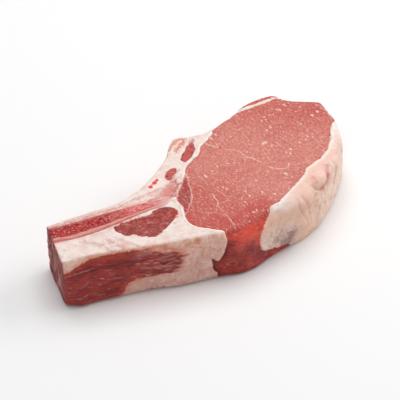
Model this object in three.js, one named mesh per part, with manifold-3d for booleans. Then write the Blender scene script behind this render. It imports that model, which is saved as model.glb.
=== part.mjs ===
// A raw bone-in rib chop lying on one of its two cut faces. Millimetres, +Z up.
// +X runs along the chop, from the sawn end of the rib to the far end of the loin eye.
// -Y is the skin side with the fat cap and +Y the chine side, where the rib cage was.
// Every layer that shows on a cut face runs through the chop from one cut face to the other.
import * as THREE from "three";
import { mergeVertices } from "three/addons/utils/BufferGeometryUtils.js";
import Module from "manifold-3d";

const wasm = await Module();
wasm.setup();

// ---- Driving dimensions ----
const thickness = 27.5; // between the two cut faces
const gap = 0.3; // between layers that touch
const facets = { along: 58, across: 16, up: 7 }; // of the whole chop
const edgeRadius = { foot: 1.8, sawnEnd: 1.2, farEnd: 3, chineSide: 1.2 };
const wallBulge = 1.0; // how far a wall swells at half height
const farEndFlare = 1.8; // how far the far end's foot stands out past its rim
const flankDepth = 5; // the thin muscle on the skin side of the rib
const toeDepth = 10; // the eye muscle where it swells out at the front
const lobeDepth = 4; // the fat cap's edge where it laps over the eye's front
const fatLump = { height: 0.5, length: 17 }; // soft lumps in the fat cap
const cutFaceWave = { height: 0.35, length: 55 }; // slow rise and fall of the upper cut face
const past = 60; // how far cutting solids run past the chop

// Upper rim on the chine side and on the skin side, each from the sawn end to the far end.
const chineRim = [
  [-71.6, 20], [-53, 17], [-36, 14], [-22.1, 16.1], [-11.1, 20.8], [-3.3, 25.6], [0.3, 29.5],
  [4.2, 32.3], [8.3, 32], [14, 29.4], [20, 28], [29, 28.7], [37.5, 29.8], [43, 31.8], [48.2, 32.4],
  [56, 31.4], [60.2, 29.6], [62.4, 25.2], [68.2, 19.4], [75.4, 13.2],
];
const skinRim = [
  [-78, -1.8], [-63.7, -6.4], [-35.8, -18.7], [-12.2, -28.7], [-6.2, -31.6], [0, -32.5],
  [11.4, -31.3], [28.2, -31.3], [38, -28.6], [56.8, -20.5], [63.8, -15.1], [69.7, -7.8], [73.2, -0.3],
];

// At places along X: how far the foot stands out past the rim, and how round the rim is.
const skinFlare = [
  [-78, 0.6], [-71, 3.9], [-57, 2.6], [-48, 1.6], [-39, 1.2], [-30, 1.9], [-18, 0.9], [-9, 0.2],
  [5, 1.6], [12, 1.4], [23, 0.4], [34, 1.8], [42, 2.6], [52, 1.2], [62, 0.3], [72, 2.2],
];
const chineFlare = [[-78, 0.6], [-30, 1.6], [0, 0.8], [30, 1.8], [76, 1.2]];
const skinEdgeRadius = [[-78, 1.2], [-14, 1.8], [0, 8], [10, 8], [18, 4.5], [60, 4], [74, 2.5]];

// Seams between the layers on the cut faces, in plan.
const ribSeam = [
  [-10.7, -32.6], [-10.8, -27.6], [-13.6, -24.8], [-19, -18.9], [-20.1, -15.3], [-19.7, -11.8],
  [-16.7, -5.1], [-16, 0.4], [-10, 6], [-4, 10.8], [-2.1, 13.2], [2.4, 15.8], [9.1, 18.1],
  [12, 21.2], [19, 24], [23.3, 26.7], [24.5, 30.4],
];
const capSeam = [
  [74, 1.3], [66.6, -5.6], [61.6, -11], [56.4, -14.6], [46, -17.6], [42.3, -18], [37.7, -21.1],
  [20.3, -27.1], [14, -30.2], [10, -33.1],
];
const innerSeam = [[-2.5, 11.9], [-6.3, 5], [-8.3, -0.1], [-14.1, -6.7], [-22, -11.5]];
const edgeSeamInner = [[37.7, 29.6], [44.8, 29.3], [52.5, 27.9], [58.6, 27.4], [61.1, 25.6]];
const edgeSeamOuter = [[40, 31.2], [45, 30.7], [52.9, 29.3], [58.6, 28.8], [61.9, 27]];

// Outlines of the rib, the chine bone and the small muscles between them, in plan.
const ribBone = [
  [-84, 21.4], [-66.7, 16.4], [-39.8, 9.7], [-26.4, 6], [-18.1, 2.6], [-21, 0.2], [-29.6, 1.5],
  [-52.1, 3.2], [-65.6, 6.3], [-84, 14.4],
];
const ribLean = [
  [-48.8, 1.4], [-40.1, 1.6], [-31.3, -0.3], [-26.9, 0.7], [-21.8, -1.2], [-19.7, -5.2],
  [-22.5, -8.2], [-35.5, -12.8], [-39.8, -10.9], [-43.3, -6.9], [-47.2, -5.3],
];
const chineBone = [[-2.1, 24], [-5.5, 26.4], [1.5, 35.4], [10.5, 35.4], [10.1, 30], [6, 26.1], [2.5, 24]];
const chineLeanUpper = [
  [10.5, 25.8], [9.9, 22.2], [3.9, 18.1], [0.7, 17], [-0.3, 19.6], [4.1, 23.2], [7.7, 25.6],
];
const chineLeanLower = [[-5.4, 17.1], [-4.9, 15.5], [-8.1, 13.6], [-11.3, 11.6], [-12.8, 14], [-10.7, 16.2]];

// Outlines on the skin side wall, as distance along X and height.
const flankTop = [
  [-88, 18], [-77.3, 20.4], [-68.3, 24.7], [-59.7, 25.7], [-51.8, 25.6], [-41.9, 24.7], [-36, 23.2],
  [-30.9, 21.1], [-29, 17.7], [-30.3, 13.6], [-33.7, 10.7], [-42.8, 9.8], [-50.7, 8.6], [-56, -1],
];
const toeLeft = [
  [-8.2, 28.5], [-8.9, 25.2], [-10.4, 21.7], [-11.5, 17.4], [-12.6, 13.8], [-14.9, 11.2],
  [-17, 13.3], [-16.7, 10], [-16.6, 7], [-14.6, 3.4], [-14.4, -1],
];
const toeRight = [
  [25, -1], [21, 3.6], [12.6, 6.3], [8.6, 7.8], [6, 10], [4.5, 14.5], [4.9, 18.8], [7.7, 21.6],
  [12, 24.2], [17, 28.5],
];

const finishes = {
  loin: { name: "loin lean", color: 0xc9675c, roughness: 0.42 },
  darkLean: { name: "dark lean", color: 0x8e2f2b, roughness: 0.4 },
  fat: { name: "fat", color: 0xecd6cb, roughness: 0.5 },
  rib: { name: "sawn rib", color: 0xb4403a, roughness: 0.55 },
  chine: { name: "chine bone", color: 0xe6cbbf, roughness: 0.5 },
};

// ---- Curves ----
const { clamp, smoothstep } = THREE.MathUtils;
const corner = (x, y) => new THREE.Vector2(x, y);

/** The value at x of the broken line through [x, value] pairs. */
function along(pairs, x) {
  const found = pairs.findIndex(([at]) => at > x);
  const i = found < 0 ? pairs.length - 1 : Math.max(found, 1);
  const [[x0, v0], [x1, v1]] = [pairs[i - 1], pairs[i]];
  return v0 + (v1 - v0) * clamp((x - x0) / (x1 - x0), 0, 1);
}

/** A smooth curve through plan points. */
function curve(points, closed = false) {
  const places = points.map(([x, y]) => new THREE.Vector3(x, y, 0));
  return new THREE.CatmullRomCurve3(places, closed, "centripetal");
}

/** Plan points along a smooth curve, two for each of its spans. */
function sampled(points, closed = false) {
  const spans = closed ? points.length : points.length - 1;
  const made = curve(points, closed).getPoints(spans * 2);
  if (closed) made.pop();
  return made.map((p) => corner(p.x, p.y));
}

/** An outline moved outwards by a distance, or inwards where it is negative. */
function grown(outline, distance) {
  const turn = THREE.ShapeUtils.area(outline) > 0 ? 1 : -1;
  return outline.map((p, i) => {
    const before = p.clone().sub(outline.at(i - 1)).normalize();
    const after = outline[(i + 1) % outline.length].clone().sub(p).normalize();
    const middle = before.add(after).normalize();
    return corner(p.x + middle.y * turn * distance, p.y - middle.x * turn * distance);
  });
}

// ---- The whole chop ----
const rims = { chine: curve(chineRim), skin: curve(skinRim) };
const chopLength = (rims.chine.getLength() + rims.skin.getLength()) / 2;

/** Spreads even steps of 0 to 1 so that they lie closer together near both ends. */
function closerAtEnds(t, strength) {
  const eased = 0.5 - 0.5 * Math.cos(Math.PI * t);
  return t + (eased - t) * strength;
}

/** A point of one rim's wall at a height: the rim moved outwards by its flare and its bulge. */
function wallPoint(side, share, height) {
  const p = rims[side].getPointAt(share);
  const direction = rims[side].getTangentAt(share);
  const rise = height / thickness;
  const flare = along(side === "skin" ? skinFlare : chineFlare, p.x) * (1 - rise);
  const out = (flare + 4 * wallBulge * rise * (1 - rise)) * (side === "skin" ? -1 : 1);
  return corner(p.x - direction.y * out, p.y + direction.x * out);
}

/** Slow rise and fall of the upper cut face. */
function cutFaceRise(x, y) {
  const k = (2 * Math.PI) / cutFaceWave.length;
  return cutFaceWave.height * (Math.sin(k * x + 0.6) * Math.cos(1.3 * k * y) - 0.4);
}

/** How far the fat cap's wall stands out in soft lumps. */
function fatLumps(x, z) {
  const k = (2 * Math.PI) / fatLump.length;
  const onCap = smoothstep(x, 14, 26) * (1 - smoothstep(x, 62, 72)) * smoothstep(z, 1, 6);
  return fatLump.height * Math.sin(k * x + 0.25 * z) * Math.cos(0.8 * k * z - 0.1 * x) * onCap;
}

/** Rounds the edges and corners of a box by a radius for each axis. */
function rounded(point, size, radius) {
  const core = new THREE.Vector3();
  for (const axis of ["x", "y", "z"]) {
    core[axis] = clamp(point[axis], radius[axis], size[axis] - radius[axis]);
  }
  const from = point.clone().sub(core).divide(radius);
  return from.lengthSq() > 0 ? core.add(from.normalize().multiply(radius)) : core;
}

/** Moves a point of a unit box onto the chop. */
function onChop(point) {
  const share = closerAtEnds(point.x + 0.5, 0.35);
  const across = closerAtEnds(point.y + 0.5, 0.9);
  const up = closerAtEnds(point.z + 0.5, 0.7);
  const skin = rims.skin.getPointAt(share);
  const width = skin.distanceTo(rims.chine.getPointAt(share));
  const rimRadius = across < 0.5 ? along(skinEdgeRadius, skin.x) : edgeRadius.chineSide;
  const sideRadius = up < 0.5 ? edgeRadius.foot : rimRadius;
  const endRadius = share < 0.5 ? edgeRadius.sawnEnd : edgeRadius.farEnd;
  const size = new THREE.Vector3(chopLength, width, thickness);
  const straight = new THREE.Vector3(share, across, up).multiply(size);
  const round = rounded(straight, size, new THREE.Vector3(endRadius, sideRadius, sideRadius));
  const at = clamp(round.x / chopLength, 0, 1);
  const plan = wallPoint("skin", at, round.z).lerp(wallPoint("chine", at, round.z), round.y / width);
  plan.x += farEndFlare * (1 - round.z / thickness) * at ** 12;
  plan.y -= fatLumps(plan.x, round.z) * (1 - smoothstep(round.y, 0, 5));
  const nearTop = smoothstep(round.z, thickness * 0.6, thickness);
  return new THREE.Vector3(plan.x, plan.y, round.z + cutFaceRise(plan.x, plan.y) * nearTop);
}

/** A closed geometry as a solid that can be cut and joined. */
function solid(geometry) {
  const bare = geometry.clone();
  bare.deleteAttribute("normal");
  bare.deleteAttribute("uv");
  const merged = mergeVertices(bare, 1e-4);
  return new wasm.Manifold(
    new wasm.Mesh({
      numProp: 3,
      vertProperties: merged.attributes.position.array,
      triVerts: new Uint32Array(merged.index.array),
    }),
  );
}

/** The whole chop as one solid: a box of many facets, moved onto the chop's form. */
function wholeChop() {
  const box = new THREE.BoxGeometry(1, 1, 1, facets.along, facets.across, facets.up);
  const position = box.attributes.position;
  for (let i = 0; i < position.count; i++) {
    const moved = onChop(new THREE.Vector3().fromBufferAttribute(position, i));
    position.setXYZ(i, moved.x, moved.y, moved.z);
  }
  return solid(box);
}

// ---- Cutting solids ----
/** An upright block over a plan outline, taller than the chop. */
function block(outline, distance) {
  const shape = new THREE.Shape(grown(outline, distance));
  const made = new THREE.ExtrudeGeometry(shape, { depth: 2 * past, bevelEnabled: false });
  return solid(made.translate(0, 0, -past));
}

/** A level block over an outline of the skin side wall, run through the chop in Y. */
function wallBlock(outline, distance) {
  const shape = new THREE.Shape(grown(outline, distance));
  const made = new THREE.ExtrudeGeometry(shape, { depth: 2 * past, bevelEnabled: false });
  return solid(made.rotateX(Math.PI / 2).translate(0, past, 0));
}

/** The strip of the chop that lies within a depth of the skin side's rim. */
function skinBand(depth, distance) {
  const rim = sampled(skinRim);
  const inner = rim.map((p, i) => {
    const direction = rim[Math.min(i + 1, rim.length - 1)].clone().sub(rim[Math.max(i - 1, 0)]).normalize();
    return corner(p.x - direction.y * depth, p.y + direction.x * depth);
  });
  const beyond = [[2, inner.at(-1).y], [2, -past], [-2, -past], [-2, inner[0].y]];
  return block([...inner, ...beyond.map(([x, y]) => corner(x * past, y))], distance);
}

const outlines = {
  ribSide: [
    ...sampled(ribSeam), corner(24.5, past), corner(-110, past), corner(-110, -past), corner(-10.7, -past),
  ],
  capSide: [...sampled(capSeam), corner(10, -past), corner(110, -past), corner(110, 1.3)],
  edgeSide: [...sampled(edgeSeamInner), corner(66, 27), corner(66, past), corner(36.5, past)],
  edgeLean: [...sampled(edgeSeamOuter), corner(66, 29), corner(66, past), corner(39, past)],
  innerSide: [...sampled(innerSeam), corner(-30, -11.5), corner(-30, 11.9)],
  flank: [...sampled(flankTop), corner(-88, -1)],
  toe: [...sampled(toeLeft), ...sampled(toeRight)],
  capLobe: [...sampled(toeRight), corner(30, 28.5), corner(30, -1)],
  ribBone: sampled(ribBone, true),
  ribLean: sampled(ribLean, true),
  chineBone: sampled(chineBone, true),
  chineLeanUpper: sampled(chineLeanUpper, true),
  chineLeanLower: sampled(chineLeanLower, true),
};

/** The block that a layer keeps and the slightly larger one that its neighbour loses. */
function keptAndLost(name) {
  return [block(outlines[name], -gap / 2), block(outlines[name], gap / 2)];
}

/** The same pair for a layer that lies on the skin side wall. */
function keptAndLostOnWall(name, depth) {
  return [-gap / 2, gap / 2].map((by) => wallBlock(outlines[name], by).intersect(skinBand(depth, by)));
}

/** A solid without each of the cutters. */
function without(from, cutters) {
  return cutters.reduce((rest, cutter) => rest.subtract(cutter), from);
}

/** Each layer as a solid, cut from the whole chop and held a gap apart from its neighbours. */
function layers() {
  const chop = wholeChop();
  const [toe, toeLost] = keptAndLostOnWall("toe", toeDepth);
  const [capLobe, capLobeLost] = keptAndLostOnWall("capLobe", lobeDepth);
  const [flank, flankLost] = keptAndLostOnWall("flank", flankDepth);
  const [ribSide, ribSideLost] = keptAndLost("ribSide");
  const [capSide, capSideLost] = keptAndLost("capSide");
  const [edgeSide, edgeSideLost] = keptAndLost("edgeSide");
  const [edgeLean, edgeLeanLost] = keptAndLost("edgeLean");
  const [innerSide, innerSideLost] = keptAndLost("innerSide");
  const inserts = ["ribBone", "ribLean", "chineBone", "chineLeanUpper", "chineLeanLower"].map(keptAndLost);
  const [bone, lean, chine, upper, lower] = inserts.map(([kept]) => chop.intersect(kept));
  const fatLost = [ribSideLost, capSideLost, capLobeLost].map((lost) => lost.subtract(toe));
  return {
    loin_eye: [without(chop, [...fatLost, edgeSideLost, innerSideLost]), finishes.loin],
    inner_lean: [without(chop.intersect(innerSide), [ribSideLost]), finishes.darkLean],
    edge_lean: [chop.intersect(edgeLean), finishes.darkLean],
    edge_seam_fat: [without(chop.intersect(edgeSide), [edgeLeanLost]), finishes.fat],
    fat_cap: [without(chop.intersect(capSide.add(capLobe)), [toeLost]), finishes.fat],
    rib_fat: [
      without(chop.intersect(ribSide), [toeLost, flankLost, ...inserts.map(([, lost]) => lost)]),
      finishes.fat,
    ],
    rib_bone: [bone, finishes.rib],
    chine_bone: [chine, finishes.chine],
    rib_lean: [lean, finishes.darkLean],
    chine_lean_upper: [upper, finishes.darkLean],
    chine_lean_lower: [lower, finishes.darkLean],
    flank_lean: [chop.intersect(flank), finishes.darkLean],
  };
}

/** A named mesh of a layer's one large piece, without loose scraps. */
function layerMesh(name, cut, { name: finish, color, roughness }) {
  const [whole] = cut.decompose().sort((a, b) => b.volume() - a.volume());
  const { vertProperties, triVerts } = whole.getMesh();
  const geometry = new THREE.BufferGeometry();
  geometry.setAttribute("position", new THREE.BufferAttribute(vertProperties, 3));
  geometry.setIndex(new THREE.BufferAttribute(triVerts, 1));
  geometry.computeVertexNormals();
  const material = new THREE.MeshStandardMaterial({ name: finish, color, roughness, metalness: 0 });
  const mesh = new THREE.Mesh(geometry, material);
  mesh.name = name;
  return mesh;
}

const ribChop = new THREE.Group();
for (const [name, [cut, finish]] of Object.entries(layers())) ribChop.add(layerMesh(name, cut, finish));

export default ribChop;
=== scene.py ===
"""A raw bone-in rib chop lying on one of its cut faces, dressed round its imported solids.

The chop is one closed surface worked out with numpy: a box lattice laid between the chine side's rim
and the skin side's rim, with rounded edges and with relief that follows the tissue under each point.
Upright blocks over the seams' outlines cut it into one piece for each CAD node. Signed distances to
the seams, the veins and the stains go with each piece as attributes, and the materials read them.
Lengths are millimetres until a mesh is made.
"""

from __future__ import annotations

import functools
import logging
import math
from dataclasses import dataclass, field
from enum import Enum
from typing import Sequence

import bpy
import numpy as np
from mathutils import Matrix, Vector

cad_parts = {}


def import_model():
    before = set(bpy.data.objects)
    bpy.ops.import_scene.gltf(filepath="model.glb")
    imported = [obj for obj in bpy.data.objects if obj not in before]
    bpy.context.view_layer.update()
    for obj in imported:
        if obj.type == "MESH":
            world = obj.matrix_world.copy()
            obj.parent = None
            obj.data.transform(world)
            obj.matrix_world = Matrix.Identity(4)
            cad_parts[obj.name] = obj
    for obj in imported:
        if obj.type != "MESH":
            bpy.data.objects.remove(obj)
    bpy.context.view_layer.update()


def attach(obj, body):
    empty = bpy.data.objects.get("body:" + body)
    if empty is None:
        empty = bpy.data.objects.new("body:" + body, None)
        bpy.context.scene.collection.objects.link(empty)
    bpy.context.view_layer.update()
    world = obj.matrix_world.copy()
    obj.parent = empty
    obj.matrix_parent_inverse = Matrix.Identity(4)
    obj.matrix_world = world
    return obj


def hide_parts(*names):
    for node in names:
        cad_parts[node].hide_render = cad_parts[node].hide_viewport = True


Array = np.ndarray
Points = Sequence[tuple[float, float]]
Colour = tuple[float, float, float, float]
Solid = bpy.types.Object
Socket = bpy.types.NodeSocket
Inputs = dict[int | str, object] | tuple[()]

MM = 0.001
TOP = 27.5
PAST = 60.0
LOG = logging.getLogger("rib_chop")


class Slot(Enum):
    """The record's material slots."""

    LOIN = "loin_lean"
    DARK = "dark_lean"
    FAT = "fat"
    RIB = "rib_bone"
    CHINE = "chine_bone"


class Cut(Enum):
    """How a cutter acts on what it cuts."""

    KEEP = "INTERSECT"
    LOSE = "DIFFERENCE"
    JOIN = "UNION"


def srgb(red: int, green: int, blue: int) -> Colour:
    """A display colour of 0 to 255 for each channel as Blender's linear colour."""

    def linear(level: int) -> float:
        """One channel, by the usual sRGB curve."""
        v = level / 255
        return v / 12.92 if v <= 0.04045 else ((v + 0.055) / 1.055) ** 2.4

    return linear(red), linear(green), linear(blue), 1.0


def smoothstep(value: Array, low: float, high: float) -> Array:
    """0 below low, 1 above high, and 3t^2 - 2t^3 between them."""
    t = np.clip((value - low) / (high - low), 0.0, 1.0)
    return t * t * (3 - 2 * t)


def smooth_line(points: Points, closed: bool = False, per_span: int = 8) -> Array:
    """A centripetal Catmull-Rom curve through points.

    Each span is a cubic whose end tangents come from the neighbouring points, weighted by the
    square roots of the distances between them. An open curve's missing neighbours are mirrored.

    Args:
        points: The places the curve passes through.
        closed: Whether it returns to its start.
        per_span: Samples for each span.

    Returns:
        The samples, shaped (n, 2), with the last point of an open curve included.
    """
    p = np.asarray(points, float)
    ends = (p[-1:], p[:1], p[1:2]) if closed else (2 * p[:1] - p[1:2], 2 * p[-1:] - p[-2:-1])
    p = np.vstack([ends[0], p, *ends[1:]])
    p0, p1, p2, p3 = p[:-3], p[1:-2], p[2:-1], p[3:]

    def knot(a: Array, b: Array) -> Array:
        """Square root of the distance between points."""
        return np.maximum(np.sum((a - b) ** 2, axis=1, keepdims=True), 1e-12) ** 0.25

    d0, d1, d2 = knot(p0, p1), knot(p1, p2), knot(p2, p3)
    start = ((p1 - p0) / d0 - (p2 - p0) / (d0 + d1) + (p2 - p1) / d1) * d1
    end = ((p2 - p1) / d1 - (p3 - p1) / (d1 + d2) + (p3 - p2) / d2) * d1
    t = (np.arange(per_span) / per_span)[None, :, None]
    c0, c1 = p1[:, None], start[:, None]
    c2 = (-3 * p1 + 3 * p2 - 2 * start - end)[:, None]
    c3 = (2 * p1 - 2 * p2 + start + end)[:, None]
    line = (c0 + c1 * t + c2 * t**2 + c3 * t**3).reshape(-1, 2)
    return line if closed else np.vstack([line, p[-2:-1]])


class Noise:
    """Smooth pseudo-random fields: gradients hashed from a lattice's corners, blended between them."""

    PRIMES = np.array([73856093, 19349663, 83492791], np.uint64)

    def __init__(self, seed: int) -> None:
        """Keeps the seed that shifts the hash."""
        self.seed = np.uint64(seed * 2654435761 % 2**32)

    def _gradient(self, corner: Array) -> Array:
        """A fixed direction for each lattice corner, from its hashed indices."""
        key = (corner.astype(np.int64).astype(np.uint64) * self.PRIMES).astype(np.uint64)
        mixed = (key[:, 0] ^ key[:, 1] ^ key[:, 2] ^ self.seed) & np.uint64(0xFFFFFFFF)
        mixed = (mixed ^ (mixed >> np.uint64(15))) * np.uint64(2246822519) & np.uint64(0xFFFFFFFF)
        mixed = (mixed ^ (mixed >> np.uint64(13))) * np.uint64(3266489917) & np.uint64(0xFFFFFFFF)
        turn = (mixed & np.uint64(0xFFFF)).astype(float) * (2 * math.pi / 65536)
        height = ((mixed >> np.uint64(16)) & np.uint64(0xFFFF)).astype(float) / 32768 - 1
        flat = np.sqrt(np.maximum(1 - height**2, 0))
        return np.stack([flat * np.cos(turn), flat * np.sin(turn), height], axis=1)

    def at(self, places: Array) -> Array:
        """Gradient noise, about -1 to 1, of one unit's grain.

        Args:
            places: Points shaped (n, 3), in units of the grain.

        Returns:
            One value for each point.
        """
        cell = np.floor(places)
        part = places - cell
        ease = part**3 * (part * (part * 6 - 15) + 10)
        total = np.zeros(len(places))
        for step in np.ndindex(2, 2, 2):
            offset = np.array(step, float)
            weight = np.prod(np.where(offset > 0, ease, 1 - ease), axis=1)
            total += weight * np.sum(self._gradient(cell + offset) * (part - offset), axis=1)
        return total * 1.6

    def lobes(self, places: Array) -> Array:
        """How much nearer one cell's middle is than the next one's, in cells of one unit.

        Each lattice cell has one middle, moved off its centre by a hashed direction. The two middles
        nearest to a place lie among the 27 cells round it.

        Args:
            places: Points shaped (n, 3), in units of the cells.

        Returns:
            The second nearest distance less the nearest, which is 0 on the borders of the cells.
        """
        cell = np.floor(places)
        first = np.full(len(places), 4.0)
        second = first.copy()
        for step in np.ndindex(3, 3, 3):
            corner = cell + np.array(step) - 1
            away = np.linalg.norm(places - corner - 0.5 - 0.38 * self._gradient(corner), axis=1)
            second = np.minimum(second, np.maximum(first, away))
            first = np.minimum(first, away)
        return second - first

    def layered(self, places: Array, octaves: int = 3) -> Array:
        """Octaves of at(), each of half the grain and half the strength."""
        parts = [self.at(places * 2**k + 17.3 * k) * 0.5**k for k in range(octaves)]
        return np.sum(parts, axis=0)


@dataclass
class Line:
    """A smooth line in a plane, with distances to it."""

    points: Points
    closed: bool = False
    per_span: int = 8
    path: Array = field(init=False)

    def __post_init__(self) -> None:
        """Samples the curve once."""
        self.path = smooth_line(self.points, self.closed, self.per_span)

    def near(self, places: Array, within: float = 12.0) -> tuple[Array, Array]:
        """Distance to the line and side of it.

        Each segment in turn is measured against the places near it: the nearest point of the
        segment is found by projection, and the closest segment counts. The side is the sign of the
        cross product of that segment with the way to the place.

        Args:
            places: Points shaped (n, 2).
            within: Distances past this are all given as this.

        Returns:
            The distances, and the signed distances, positive to the left of the line.
        """
        ends = np.roll(self.path, -1, axis=0)
        count = len(self.path) - (not self.closed)
        distance = np.full(len(places), within)
        signed = np.full(len(places), within)
        x, y = np.ascontiguousarray(places.T)
        for (ax, ay), (bx, by) in zip(self.path[:count], ends[:count]):
            inside = (x > min(ax, bx) - within) & (x < max(ax, bx) + within)
            inside &= (y > min(ay, by) - within) & (y < max(ay, by) + within)
            close = np.flatnonzero(inside)
            run_x, run_y = bx - ax, by - ay
            way_x, way_y = x[close] - ax, y[close] - ay
            share = (way_x * run_x + way_y * run_y) / max(run_x**2 + run_y**2, 1e-12)
            share = np.clip(share, 0, 1)
            gap = np.hypot(way_x - share * run_x, way_y - share * run_y)
            nearer = gap < distance[close]
            found = close[nearer]
            cross = run_x * way_y[nearer] - run_y * way_x[nearer]
            distance[found] = gap[nearer]
            signed[found] = np.where(cross < 0, -gap[nearer], gap[nearer])
        return distance, signed


@dataclass
class Region:
    """A part of a plane inside an outline."""

    outline: Array

    def inside(self, places: Array) -> Array:
        """Whether each place is inside, by counting the outline's crossings of a level ray."""
        x, y = places[:, 0], places[:, 1]
        within = np.zeros(len(places), bool)
        for (ax, ay), (bx, by) in zip(self.outline, np.roll(self.outline, -1, axis=0)):
            if ay != by:
                crosses = (ay > y) != (by > y)
                within ^= crosses & (x < ax + (bx - ax) * (y - ay) / (by - ay))
        return within

    def signed(self, places: Array) -> Array:
        """Distance to the outline, positive inside and negative outside."""
        edge = Line(self.outline, closed=True, per_span=1)
        distance, _ = edge.near(places)
        return np.where(self.inside(places), distance, -distance)


@dataclass(frozen=True)
class ChopPlan:
    """The chop's driving sizes and the places of its seams, in millimetres.

    Plan outlines are (x, y) on the cut face, and wall outlines are (x, z) on the skin side's wall.
    """

    thickness: float = TOP
    foot_radius: float = 1.8
    sawn_radius: float = 1.2
    far_radius: float = 3.0
    chine_radius: float = 1.2
    bulge: float = 1.0
    far_flare: float = 1.8
    flank_depth: float = 5.0
    toe_depth: float = 10.0
    lobe_depth: float = 4.0
    lump_height: float = 0.5
    lump_length: float = 17.0
    wave_height: float = 0.35
    wave_length: float = 55.0

    chine_rim: Points = (
        (-71.6, 20), (-53, 17), (-36, 14), (-22.1, 16.1), (-11.1, 20.8), (-3.3, 25.6), (0.3, 29.5),
        (4.2, 32.3), (8.3, 32), (14, 29.4), (20, 28), (29, 28.7), (37.5, 29.8), (43, 31.8),
        (48.2, 32.4), (56, 31.4), (60.2, 29.6), (62.4, 25.2), (68.2, 19.4), (75.4, 13.2),
    )
    skin_rim: Points = (
        (-78, -1.8), (-63.7, -6.4), (-35.8, -18.7), (-12.2, -28.7), (-6.2, -31.6), (0, -32.5),
        (11.4, -31.3), (28.2, -31.3), (38, -28.6), (56.8, -20.5), (63.8, -15.1), (69.7, -7.8),
        (73.2, -0.3),
    )
    skin_flare: Points = (
        (-78, 0.6), (-71, 3.9), (-57, 2.6), (-48, 1.6), (-39, 1.2), (-30, 1.9), (-18, 0.9), (-9, 0.2),
        (5, 1.6), (12, 1.4), (23, 0.4), (34, 1.8), (42, 2.6), (52, 1.2), (62, 0.3), (72, 2.2),
    )
    chine_flare: Points = ((-78, 0.6), (-30, 1.6), (0, 0.8), (30, 1.8), (76, 1.2))
    skin_radius: Points = ((-78, 1.2), (-14, 1.8), (0, 8), (10, 8), (18, 4.5), (60, 4), (74, 2.5))

    rib_seam: Points = (
        (-10.7, -32.6), (-10.8, -27.6), (-13.6, -24.8), (-19, -18.9), (-20.1, -15.3),
        (-19.7, -11.8), (-16.7, -5.1), (-16, 0.4), (-10, 6), (-4, 10.8), (-2.1, 13.2),
        (2.4, 15.8), (9.1, 18.1), (12, 21.2), (19, 24), (23.3, 26.7), (24.5, 30.4),
    )
    cap_seam: Points = (
        (74, 1.3), (66.6, -5.6), (61.6, -11), (56.4, -14.6), (46, -17.6), (42.3, -18),
        (37.7, -21.1), (20.3, -27.1), (14, -30.2), (10, -33.1),
    )
    inner_seam: Points = ((-2.5, 11.9), (-6.3, 5), (-8.3, -0.1), (-14.1, -6.7), (-22, -11.5))
    edge_inner: Points = ((37.7, 29.6), (44.8, 29.3), (52.5, 27.9), (58.6, 27.4), (61.1, 25.6))
    edge_outer: Points = ((40, 31.2), (45, 30.7), (52.9, 29.3), (58.6, 28.8), (61.9, 27))
    rib_bone: Points = (
        (-84, 21.4), (-66.7, 16.4), (-39.8, 9.7), (-26.4, 6), (-18.1, 2.6), (-21, 0.2),
        (-29.6, 1.5), (-52.1, 3.2), (-65.6, 6.3), (-84, 14.4),
    )
    rib_lean: Points = (
        (-48.8, 1.4), (-40.1, 1.6), (-31.3, -0.3), (-26.9, 0.7), (-21.8, -1.2), (-19.7, -5.2),
        (-22.5, -8.2), (-35.5, -12.8), (-39.8, -10.9), (-43.3, -6.9), (-47.2, -5.3),
    )
    chine_bone: Points = (
        (-2.1, 24), (-5.5, 26.4), (1.5, 35.4), (10.5, 35.4), (10.1, 30), (6, 26.1), (2.5, 24),
    )
    chine_lean_upper: Points = (
        (10.5, 25.8), (9.9, 22.2), (3.9, 18.1), (0.7, 17), (-0.3, 19.6), (4.1, 23.2), (7.7, 25.6),
    )
    chine_lean_lower: Points = (
        (-5.4, 17.1), (-4.9, 15.5), (-8.1, 13.6), (-11.3, 11.6), (-12.8, 14), (-10.7, 16.2),
    )
    flank: Points = (
        (-88, 18), (-77.3, 20.4), (-68.3, 24.7), (-59.7, 25.7), (-51.8, 25.6), (-41.9, 24.7),
        (-36, 23.2), (-30.9, 21.1), (-29, 17.7), (-30.3, 13.6), (-33.7, 10.7), (-42.8, 9.8),
        (-50.7, 8.6), (-56, -1),
    )
    toe_left: Points = (
        (-8.2, 28.5), (-8.9, 25.2), (-10.4, 21.7), (-11.5, 17.4), (-12.6, 13.8), (-14.9, 11.2),
        (-17, 13.3), (-16.7, 10), (-16.6, 7), (-14.6, 3.4), (-14.4, -1),
    )
    toe_right: Points = (
        (25, -1), (21, 3.6), (12.6, 6.3), (8.6, 7.8), (6, 10), (4.5, 14.5), (4.9, 18.8), (7.7, 21.6),
        (12, 24.2), (17, 28.5),
    )


@dataclass(frozen=True)
class Mark:
    """A vein, crease or streak: a line with its half width, and how strong it is."""

    points: Points
    half_width: float
    strength: float = 1.0


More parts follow.
